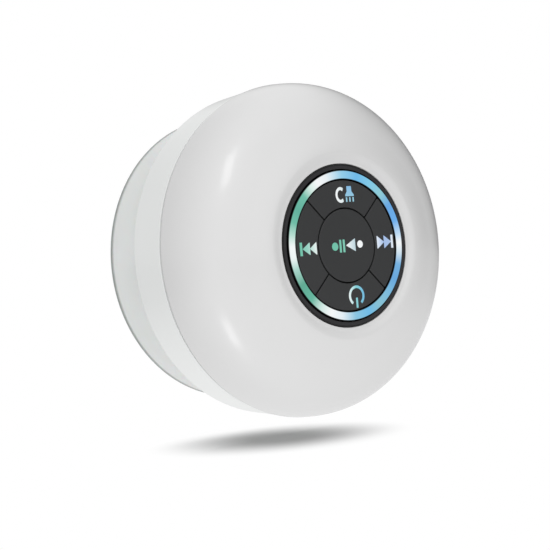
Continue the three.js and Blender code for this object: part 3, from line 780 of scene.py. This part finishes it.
# ------------------------------------------------------------------ rear housing
BACK, FLOOR = 17.8, 19.6                  # depths of the housing's outside and inside floor
IN_FLOOR = FLOOR - 0.2                    # added parts start a little inside the floor
SLOT_COUNT, SLOT_RADIUS = 12, 13.2
SLOT_LENGTH, SLOT_WIDTH = 7.4, 2.2
BOARD_BOSSES = [(29, 13), (29, -13)]
MIC_ANGLE, MIC_DEPTH = math.radians(18.5), 23.3
FLAP_HALF_WIDTH, FLAP_FRONT, FLAP_CLEARANCE = 6.6, 28.3, 0.25


def rear_profile():
    return fillet([
        (0, 23.0), (6.5, 23.0, 0.4), (6.5, FLOOR), (39.4, FLOOR, 0.6), (39.4, 28.95),
        (41.0, 28.95), (41.0, SEAM_DEPTH - 0.42), (BAND_RADIUS + 0.12, SEAM_DEPTH - 0.42, 0.16),
        (42.4, BACK, 1.3), (40.6, BACK, 0.25), (40.2, BACK + 0.35, 0.25),
        (23.4, BACK + 0.35, 0.25), (23.0, BACK, 0.25), (6.8, BACK, 0.5),
        (6.8, 13.4, 0.35), (4.2, 13.4, 0.3), (4.2, 21.5), (0, 21.5),
    ])


def floor_slot(i):
    """One radial slot with round ends, cut through the floor."""
    end = SLOT_WIDTH / 2
    outline = arc(SLOT_LENGTH / 2 - end, 0, end - 0.01, -90, 90, 8)
    outline += arc(-SLOT_LENGTH / 2 + end, 0, end - 0.01, 90, 270, 8)
    outline = [(x + SLOT_RADIUS, z) for x, z in outline]
    return pad(turned(outline, i * 2 * math.pi / SLOT_COUNT), 16.4, 21.0)


def microphone_port():
    """A radial hole through the side of the band."""
    hole = cylinder(0, 0, 0.55, -5, 5, 20)
    cos, sin = math.cos(MIC_ANGLE), math.sin(MIC_ANGLE)
    for v in hole.verts:
        across, outward, along = v.co.x, 0.041 + (v.co.y - WALL * MM), v.co.z
        v.co = Vector((outward * cos - across * sin, (WALL - MIC_DEPTH) * MM + along,
                       outward * sin + across * cos))
    return hole


def build_rear_housing():
    rear = new_object("rear_case", lathe(rear_profile(), 224))
    shade(rear, 30, weighted=False)
    ring = [(20.8, IN_FLOOR), (20.8, 22.0), (21.8, 22.0), (21.8, IN_FLOOR)]
    adds = [lathe(ring, 96)]
    adds += [cylinder(x, z, 3.6, IN_FLOOR, 28.0) for x, z in CASE_SCREWS]
    adds += [cylinder(x, z, 2.2, IN_FLOOR, 25.6) for x, z in BOARD_BOSSES]
    adds.append(box(36.6, 41.2, WALL - 25.6, WALL - FLOOR + 0.2, -8.2, 8.2))
    boolean(rear, "UNION", merged(adds))

    cuts = [cylinder(x, z, 2.95, 16.5, 20.3, 40) for x, z in CASE_SCREWS]
    cuts += [cylinder(x, z, 0.85, 20.6, 27, 20) for x, z in BOARD_BOSSES]
    cuts += [floor_slot(i) for i in range(SLOT_COUNT)]
    cuts.append(microphone_port())
    boolean(rear, "DIFFERENCE", merged(cuts))
    boolean(rear, "DIFFERENCE", merged([cylinder(x, z, 1.7, 16, 30) for x, z in CASE_SCREWS]))

    half_width = FLAP_HALF_WIDTH + FLAP_CLEARANCE
    recess = rounded_rect(-half_width, half_width, 18.7, FLAP_FRONT + FLAP_CLEARANCE, 1.2)
    opening = rounded_rect(-4.8, 4.8, 22.2, 26.1, 1.4)
    boolean(rear, "DIFFERENCE", pad(recess, 40.4, 46, place=side_place),
            pad(opening, 35.5, 41.5, place=side_place))
    finish(rear, plastics["gloss_white"], ROOT, "rear_housing", angle=28)


build_rear_housing()

# ------------------------------------------------------------------ case screws
CROSS_REACH, CROSS_HALF_WIDTH = 1.5, 0.3


def cross_outline():
    """Four arms, each the last one turned by a quarter."""
    reach, half = CROSS_REACH, CROSS_HALF_WIDTH
    return [(reach, -half), (reach, half), (half, half), (half, reach), (-half, reach),
            (-half, half), (-reach, half), (-reach, -half), (-half, -half), (-half, -reach),
            (half, -reach), (half, -half)]


def build_case_screw(i):
    low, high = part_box(f"case_screw_{i}")
    x, z = (low.x + high.x) / 2 / MM, (low.z + high.z) / 2 / MM
    head, tip = WALL - high.y / MM, WALL - low.y / MM
    shape = lathe(fillet([
        (0, head), (2.0, head + 0.1, 0.6), (2.55, head + 1.0, 0.5), (2.55, head + 1.7, 0.1),
        (1.2, head + 1.7), (1.2, tip - 1), (0, tip)]), 48)
    for v in shape.verts:
        v.co.x += x * MM
        v.co.z += z * MM
    screw = new_object(f"case_screw_head_{i}", shape)
    shade(screw)
    cross = turned(cross_outline(), math.radians(20 + 23 * i), (x, z))
    boolean(screw, "DIFFERENCE", pad(cross, head - 0.8, head + 0.95))
    finish(screw, steel, ROOT, f"case_screw_{i}", angle=30)


for i in range(1, 5):
    build_case_screw(i)

# ------------------------------------------------------------------ bezel and light ring
bezel_profile = fillet([(18.92, 46.7), (18.92, PANEL_DEPTH, 0.1),
                        (BEZEL_RADIUS, PANEL_DEPTH, 0.35), (BEZEL_RADIUS, 46.7)])
finish(new_object("bezel", lathe(bezel_profile, 224)),
       bezel_material(), ROOT, "bezel_ring")

diffuser_profile = fillet([
    (14.8, 43.3), (14.8, 44.2), (16.45, 44.2), (16.45, LIGHT_DEPTH, 0.22),
    (18.55, LIGHT_DEPTH, 0.22), (18.55, 44.2), (20.0, 44.2), (20.0, 43.3)])
finish(new_object("light_diffuser", lathe(diffuser_profile, 224)),
       light_material(), ROOT, "light_ring")

# ------------------------------------------------------------------ keys
KEYS_OUTER_RADIUS, KEYS_INNER_RADIUS, KEY_GAP = 16.1, 9.4, 0.36
PLAY_RADIUS = 9.06
OUTER_STEPS, INNER_STEPS = 48, 36


def sector(clockwise):
    """A quarter of the key ring, less half a gap each side, turned clockwise from the top."""
    outer_gap, inner_gap = (math.degrees(math.asin(KEY_GAP / 2 / radius))
                            for radius in (KEYS_OUTER_RADIUS, KEYS_INNER_RADIUS))
    points = arc(0, 0, KEYS_OUTER_RADIUS, 45 + outer_gap, 135 - outer_gap, OUTER_STEPS)
    points += arc(0, 0, KEYS_INNER_RADIUS, 135 - inner_gap, 45 + inner_gap, INNER_STEPS)
    corners = {0, OUTER_STEPS, OUTER_STEPS + 1, OUTER_STEPS + 1 + INNER_STEPS}
    points = fillet([(x, z, 0.3 if i in corners else 0) for i, (x, z) in enumerate(points)])
    return turned(points, math.radians(-clockwise))


for name, clockwise in (("call_key", 0), ("next_key", 90), ("power_key", 180), ("prev_key", 270)):
    cap = pad(sector(clockwise), KEY_BASE, KEY_TOP, edge=0.16, steps=5)
    finish(new_object(name + "_cap", cap), plastics["key_rubber"], name, name)

play_profile = fillet([
    (0, KEY_BASE), (PLAY_RADIUS, KEY_BASE), (PLAY_RADIUS, KEY_TOP, 0.22), (6, KEY_TOP + 0.03),
    (3, PLAY_TOP - 0.005), (0, PLAY_TOP)])
finish(new_object("play_key_cap", lathe(play_profile, 128)),
       plastics["key_rubber"], "play_key", "play_key")

# ------------------------------------------------------------------ lit symbols
# name: axis the colour runs along, where it starts and ends, (position, sRGB colour) stops
GLOWS = {
    "glow_phone": ("X", -2.3, 0.8, [(0, (250, 252, 252)), (1, (214, 232, 234))]),
    "glow_lamp": ("Z", 10.6, 14.6, [(0, (150, 205, 222)), (1, (128, 186, 228))]),
    "glow_prev": ("X", -15.1, -9.7,
                  [(0, (92, 190, 160)), (0.45, (150, 212, 196)), (1, (240, 248, 246))]),
    "glow_next": ("X", 10.1, 15.5,
                  [(0, (226, 236, 248)), (0.4, (160, 188, 232)), (0.75, (166, 192, 232)),
                   (1, (240, 246, 251))]),
    "glow_power": ("X", -0.9, 4.2,
                   [(0, (240, 250, 250)), (0.5, (126, 208, 214)), (1, (104, 184, 224))]),
    "glow_green": ("X", -5, -0.6, [(0, (92, 190, 160)), (1, (120, 200, 176))]),
    "glow_play": ("X", -0.5, 2.8, [(0, (250, 252, 252)), (1, (188, 214, 222))]),
    "glow_dot": ("X", 3.0, 5.5,
                 [(0, (228, 236, 238)), (0.4, (252, 253, 253)), (1, (240, 246, 247))]),
}
glows = {name: glow(name, *row) for name, row in GLOWS.items()}
SYMBOL_TOP = KEY_TOP + 0.05
OVERLAP_TOP = KEY_TOP + 0.06              # a triangle that overlaps its neighbour stands prouder
PLAY_SYMBOL_TOP = PLAY_TOP + 0.04


def handset_outline():
    back = arc(0, 0, 1.95, 62, 298, 30)
    inside = arc(0, 0, 1.22, 284, 76, 26)[1:-1]
    points = (back + [(1.02, -1.55), (0.72, -0.88), (0.3, -1.08)] + inside
              + [(0.3, 1.08), (0.72, 0.88), (1.02, 1.55)])
    return [(-0.72 + x * 0.84, 12.5 + z) for x, z in points]


def bar(x0, x1, z0, z1, radius=0.08):
    return rounded_rect(x0, x1, z0, z1, radius, 3)


def triangle(*points):
    return round_corners(points, 0.1, 3)


lamp_outline = round_corners([(1.35, 14.6), (2.85, 14.6), (2.9, 13.3), (3.6, 12.45), (3.6, 12.1),
                              (0.78, 12.1), (0.78, 12.45), (1.35, 13.3)], 0.1, 3)
# a ring open at the bottom
power_outline = arc(1.7, -12.62, 2.55, -52, 232, 48) + arc(1.7, -12.62, 1.9, 232, -52, 48)

# key, depth of the top, glow, name, outline
SYMBOLS = [
    ("call_key", SYMBOL_TOP, "glow_phone", "handset", handset_outline()),
    ("call_key", SYMBOL_TOP, "glow_lamp", "lamp", lamp_outline),
    *[("call_key", SYMBOL_TOP, "glow_lamp", f"ray_{i + 1}", bar(x - 0.22, x + 0.22, 10.72, 11.86))
      for i, x in enumerate((1.12, 2.2, 3.28))],
    ("prev_key", SYMBOL_TOP, "glow_prev", "prev_bar", bar(-15.1, -14.35, -1.75, 1.5)),
    ("prev_key", SYMBOL_TOP, "glow_prev", "prev_a",
     triangle((-14.3, -0.12), (-11.95, -1.7), (-11.95, 1.45))),
    ("prev_key", OVERLAP_TOP, "glow_prev", "prev_b",
     triangle((-12.0, -0.15), (-9.85, -1.75), (-9.85, 1.45))),
    ("next_key", SYMBOL_TOP, "glow_next", "next_a",
     triangle((10.05, -1.5), (12.5, 0.15), (10.05, 1.85))),
    ("next_key", OVERLAP_TOP, "glow_next", "next_b",
     triangle((12.4, -1.5), (14.85, 0.15), (12.4, 1.85))),
    ("next_key", SYMBOL_TOP, "glow_next", "next_bar", bar(14.8, 15.5, -1.5, 1.85)),
    ("power_key", SYMBOL_TOP, "glow_power", "power_ring", power_outline),
    ("power_key", SYMBOL_TOP, "glow_power", "power_bar", bar(1.38, 1.98, -15.62, -13.1, 0.1)),
    ("play_key", PLAY_SYMBOL_TOP, "glow_green", "dot_left", arc(-3.98, -0.1, 1.0, 0, 350, 35)),
    ("play_key", PLAY_SYMBOL_TOP, "glow_green", "pause_a", bar(-2.55, -1.9, -1.65, 1.5)),
    ("play_key", PLAY_SYMBOL_TOP, "glow_green", "pause_b", bar(-1.42, -0.77, -1.65, 1.5)),
    ("play_key", PLAY_SYMBOL_TOP, "glow_play", "play",
     triangle((-0.42, 0.0), (2.65, -1.62), (2.65, 1.62))),
    ("play_key", PLAY_SYMBOL_TOP, "glow_dot", "dot_right", arc(4.22, 0.08, 0.92, 0, 350, 35)),
]
for key, top, glow_name, name, outline in SYMBOLS:
    symbol = new_object("symbol_" + name, pad(outline, top - 0.12, top, edge=0.03, steps=2))
    finish(symbol, glows[glow_name], key, angle=40, weighted=False)

# ------------------------------------------------------------------ port flap
FLAP_RADIUS = 42.35                       # its outer face follows the band
FLAP_EDGE = 0.3
HINGE_X, HINGE_DEPTH, HINGE_RADIUS = 41.3, 20.4, 0.75


def flap_plate():
    shape = bmesh.new()
    loops = []

    def add_loop(outline, x_at):
        loops.append([shape.verts.new(side_place(z, depth, x_at(z))) for z, depth in outline])

    def face_x(z):
        return math.sqrt(FLAP_RADIUS ** 2 - z * z)

    outline = rounded_rect(-FLAP_HALF_WIDTH, FLAP_HALF_WIDTH, HINGE_DEPTH, FLAP_FRONT, 1.2, 6)
    add_loop(inset_loop(outline, 0.12), lambda z: 40.75)
    add_loop(outline, lambda z: 40.87)
    for k in range(5):                    # the rounded outer edge
        angle = math.pi / 2 * k / 4
        loop = inset_loop(outline, FLAP_EDGE * (1 - math.cos(angle))) if k else outline
        add_loop(loop, lambda z: face_x(z) - FLAP_EDGE + FLAP_EDGE * math.sin(angle))
    middle = (HINGE_DEPTH + FLAP_FRONT) / 2
    face = inset_loop(outline, FLAP_EDGE)
    for scale in (0.85, 0.7, 0.55, 0.4, 0.25, 0.1):
        add_loop([(z * scale, middle + (depth - middle) * scale) for z, depth in face], face_x)
    for near, far in zip(loops, loops[1:]):
        join_loops(shape, near, far)
    shape.faces.new(loops[0][::-1])
    shape.faces.new(loops[-1])
    return shape


def hinge_barrel():
    barrel = cylinder(0, 0, HINGE_RADIUS, -FLAP_HALF_WIDTH, FLAP_HALF_WIDTH, 32)
    for v in barrel.verts:                # laid along Z
        x, y, z = v.co.x, v.co.y - WALL * MM, v.co.z
        v.co = Vector((HINGE_X * MM + x, (WALL - HINGE_DEPTH) * MM + z, y))
    return barrel


# the nose plugs the port opening
flap_nose = pad(rounded_rect(-4.1, 4.1, 22.72, 25.42, 1.2, 6), 41.05, 39.75, place=side_place)
flap_parts = [face_outwards(part) for part in (flap_plate(), hinge_barrel(), flap_nose)]
finish(new_object("port_flap_cover", merged(flap_parts)), plastics["flap_rubber"],
       "port_flap", "port_flap", angle=40, weighted=False)

# ------------------------------------------------------------------ suction cup
# (radius, depth) from the middle out along the wall side, and from the lip back in
CUP_HOLLOW = [(0.001, 9.8), (8, 9.68), (15, 9.2), (21, 8.3), (25, 7.4), (31, 5.0), (35.2, 1.9),
              (36.6, 0.12)]
CUP_OUTSIDE = [(CUP_RADIUS, 0.75), (37.3, 3.0), (34, 6.4), (28, 9.8), (20, 11.8), (12, 12.5),
               (9.6, 12.5)]


def cup_profile():
    hollow = smooth_curve(CUP_HOLLOW, 8)
    hollow[0] = (0, 9.8)                  # closed on the axis
    lip = [(36.78, 0.0), (38.2, 0.0), (38.36, 0.06), (38.46, 0.2), (CUP_RADIUS, 0.4)]
    seat = fillet([(9.6, 12.5), (8.3, 12.5, 0.3), (8.3, 10.85), (0, 10.85)], False, 4)[1:]
    return hollow + lip + smooth_curve(CUP_OUTSIDE, 9) + seat


def stud_profile():
    points = [(0, 11.0), (8.0, 11.0, 0.2), (8.0, 12.4, 0.25), (4.0, 12.4, 0.3)]
    for k in range(5):                    # thread grooves, 1.25 apart
        rise = 1.25 * k
        points += [(4.0, 13.6 + rise), (3.55, 13.9 + rise), (3.55, 14.3 + rise),
                   (4.0, 14.6 + rise)]
    return fillet(points + [(4.0, 20.4), (3.5, 20.9), (0, 20.9)], steps=4)


washer_profile = fillet([(4.5, 12.6, 0.1), (4.5, 13.2, 0.1), (6.8, 13.2, 0.15),
                         (6.8, 12.6, 0.15)], steps=4)
finish(new_object("sucker", lathe(cup_profile(), 256)), cup_material(),
       "cup", "suction_cup", angle=35, weighted=False)
finish(new_object("threaded_stud", lathe(stud_profile(), 96)), plastics["hard_natural"],
       "cup", "cup_stud")
finish(new_object("socket_washer", lathe(washer_profile, 96)), plastics["silicone_black"],
       "cup_washer", "cup_washer")

# ------------------------------------------------------------------ view
VIEW_YAW, VIEW_PITCH = math.radians(37.95), math.radians(4.39)
# the middle of the panel, right of, below and in front of the camera
PANEL_RIGHT, PANEL_DOWN, PANEL_AWAY = 17.692084, -7.311411, 301.0
LENS, SENSOR = 79.789091, 36

# the speaker's axes in camera terms: x right, y down, z away
facing = Vector((math.sin(VIEW_YAW) * math.cos(VIEW_PITCH),
                 -math.sin(VIEW_YAW) * math.sin(VIEW_PITCH), -math.cos(VIEW_YAW)))
z_seen = Vector((-0.087, -0.996, 0))      # leans slightly; made square to the facing direction
z_seen.z = -(facing.x * z_seen.x + facing.y * z_seen.y) / facing.z
z_seen.normalize()
y_seen = -facing
x_seen = y_seen.cross(z_seen)

# the camera's directions and place in the scene
right = Vector((x_seen.x, y_seen.x, z_seen.x))
down = Vector((x_seen.y, y_seen.y, z_seen.y))
away = Vector((x_seen.z, y_seen.z, z_seen.z))
up = -down
panel = Vector((0, (WALL - PANEL_DEPTH) * MM, 0))
eye = (panel - right * (PANEL_RIGHT * MM) - down * (PANEL_DOWN * MM)
       - away * (PANEL_AWAY * MM))


def sight(rightward, downward):
    """Direction of a sight line, given its slopes against the camera's axis."""
    return (right * rightward + down * downward + away).normalized()


# ------------------------------------------------------------------ floor
FLOOR_Z = cad_low.z - 0.0055              # metres
FLOOR_BOUNCE = 0.84                       # light the floor sends back to the speaker
sight_line = sight(0.00410172, 0.1337162)
shadow_centre = eye + sight_line * ((FLOOR_Z - eye.z) / sight_line.z)


def floor_material():
    """White to the camera but for an ellipse of shadow; a soft bounce light to the rest."""
    mat = Material("pale_floor")
    ellipse = mat.node("ShaderNodeMapping", vector_type="TEXTURE", Vector=mat.place,
                       Location=(shadow_centre.x, shadow_centre.y, 0),
                       Rotation=(0, 0, math.atan2(right.y, right.x)), Scale=(0.036, 0.028, 1))
    distance = mat.vector_calc("LENGTH", ellipse.outputs["Vector"])
    clear = mat.remap(distance, source=(0.15, 1.0), smooth=True)
    # the bounce dims towards both the right and the left of the view
    rightward = mat.vector_calc("DOT_PRODUCT", mat.place,
                                Vector((right.x, right.y, 0)).normalized())
    right_fade = mat.remap(rightward, (FLOOR_BOUNCE, FLOOR_BOUNCE * 0.5), (0.08, 0.26), True)
    left_fade = mat.remap(rightward, (0.55, 1), (-0.22, -0.03), True)
    bounce = mat.emission(mat.calc("MULTIPLY", right_fade, left_fade))
    mottling = mat.noise(scale=3, detail=2)
    mat.set(Base_Color=mat.ramp(mottling, [(0, grey(0.37)), (1, grey(0.39))]),
            Roughness=0.8, Specular_IOR_Level=0.1)
    lifted = mat.node("ShaderNodeAddShader")
    mat.feed(lifted.inputs[0], mat.principled.outputs["BSDF"])
    mat.feed(lifted.inputs[1], mat.emission(0.03))
    seen = mat.mix_shader(clear, lifted.outputs["Shader"], mat.emission(1.0))
    camera_ray = mat.node("ShaderNodeLightPath").outputs["Is Camera Ray"]
    mat.set_surface(mat.mix_shader(camera_ray, bounce, seen))
    return mat.block


scene = bpy.context.scene
disc = bmesh.new()
bmesh.ops.create_circle(disc, cap_ends=True, radius=3.0, segments=96)
floor_mesh = bpy.data.meshes.new("floor")
disc.to_mesh(floor_mesh)
disc.free()
floor = bpy.data.objects.new("floor", floor_mesh)
floor.location.z = FLOOR_Z
scene.collection.objects.link(floor)
floor_mesh.materials.append(floor_material())

# ------------------------------------------------------------------ camera
scene.view_settings.view_transform = "Standard"
scene.view_settings.look = "None"

camera = bpy.data.objects.new("camera", bpy.data.cameras.new("camera"))
scene.collection.objects.link(camera)
rotation = Matrix((right, -down, -away)).transposed()
camera.matrix_world = Matrix.Translation(eye) @ rotation.to_4x4()
camera.data.sensor_width = SENSOR
camera.data.lens = LENS
camera.data.clip_start, camera.data.clip_end = 0.01, 20
scene.camera = camera


# ------------------------------------------------------------------ lights, in metres
def area_light(name, position, target, width, height, power):
    lamp = bpy.data.lights.new(name, "AREA")
    lamp.shape = "RECTANGLE"
    lamp.size, lamp.size_y, lamp.energy = width, height, power
    ob = bpy.data.objects.new(name, lamp)
    ob.location = position
    ob.rotation_mode = "QUATERNION"
    ob.rotation_quaternion = (Vector(target) - Vector(position)).to_track_quat("-Z", "Y")
    ob.visible_camera = False
    scene.collection.objects.link(ob)
    return ob


def inside_dome(point):
    radius = min(SHELL_RADIUS, math.hypot(point.x, point.z) / MM)
    return point.y > (WALL - (PANEL_DEPTH - dome(radius))) * MM


def dome_hit(direction):
    """Where a sight line first meets the dome, found in steps of 0.1 mm."""
    reach = 0.2
    while reach < 0.4:
        point = eye + direction * reach
        if math.hypot(point.x, point.z) < SHELL_RADIUS * MM and inside_dome(point):
            return point
        reach += 0.0001


def strip(name, slopes, width, height, radiance, tilt=0.0, distance=0.7):
    """A soft lamp mirrored by the dome where a sight line of these slopes meets it."""
    direction = sight(*slopes)
    hit = dome_hit(direction)
    radius = math.hypot(hit.x, hit.z) / MM
    slope = dome_slope(radius, 0.02)
    normal = Vector((hit.x / (radius * MM) * slope, -1,
                     hit.z / (radius * MM) * slope)).normalized()
    mirrored = direction - normal * 2 * direction.dot(normal)
    ob = area_light(name, hit + mirrored * distance, hit, width, height,
                    power=radiance * math.pi * width * height)
    turn = Matrix.Rotation(math.radians(tilt), 3, "Z").to_quaternion()
    ob.rotation_quaternion = ob.rotation_quaternion @ turn
    return ob


def link_light(light, receivers, blockers=None):
    light.light_linking.receiver_collection = receivers
    if blockers:
        light.light_linking.blocker_collection = blockers


speaker_lights = [
    strip("strip_upper", slopes=(-0.03855619, -0.08777687), width=0.13, height=0.26,
          radiance=4.2),
    strip("strip_lower", slopes=(-0.03609516, 0.04840033), width=0.14, height=0.20,
          radiance=5.6, tilt=10),
    area_light("overhead_fill", right * 0.16 + up * 0.6 - away * 0.12, target=(0, 0, 0),
               width=0.7, height=0.7, power=0.12),
]
floor_light = area_light("top_soft", right * 0.03 + up * 0.6, target=(0, 0, 0),
                         width=0.4, height=0.4, power=6.0)

floor_only = bpy.data.collections.new("floor_only")
scene.collection.children.link(floor_only)
floor_only.objects.link(floor)
link_light(floor_light, floor_only)

parts_only = bpy.data.collections.new("parts_only")
scene.collection.children.link(parts_only)
for ob in list(scene.objects):
    if ob.type == "MESH" and ob is not floor:
        parts_only.objects.link(ob)
for light in speaker_lights:              # the floor neither blocks nor catches these
    link_light(light, parts_only, parts_only)

# ------------------------------------------------------------------ world
world = bpy.data.worlds.new("studio")
scene.world = world
world.use_nodes = True
sky = Nodes(world.node_tree)
sky_direction = sky.node("ShaderNodeTexCoord").outputs["Generated"]


def direction_ramp(axis, start, end):
    """Brightness by direction: 0 is against the axis, 1 along it; ends are (place, level)."""
    dot = sky.vector_calc("DOT_PRODUCT", sky_direction, axis)
    along = sky.calc("MULTIPLY_ADD", dot, 0.5, 0.5)
    return sky.ramp(along, [(place, grey(level)) for place, level in (start, end)], "EASE")


# a dark card behind, low on the right; a little less light from the left
brightness = direction_ramp((right * 0.72 + away * 0.55 - up * 0.42).normalized(),
                            (0.54, 1.0), (0.78, 0.0))
from_left = direction_ramp(-right, (0.38, 1.0), (0.85, 0.66))
from_above = direction_ramp((up * 0.7 + right * 0.4 - away * 0.6).normalized(),
                            (0.5, 0.98), (0.95, 1.02))
for factor in (from_left, from_above):
    brightness = sky.mix_colour(1.0, brightness, factor, blend="MULTIPLY")

lighting = world.node_tree.nodes["Background"]
sky.feed(lighting.inputs["Color"], brightness)
lighting.inputs["Strength"].default_value = 1.03
backdrop = sky.node("ShaderNodeBackground", Color=grey(1), Strength=1.0)
camera_ray = sky.node("ShaderNodeLightPath").outputs["Is Camera Ray"]
sky.feed(world.node_tree.nodes["World Output"].inputs["Surface"],
         sky.mix_shader(camera_ray, lighting.outputs["Background"],
                        backdrop.outputs["Background"]))
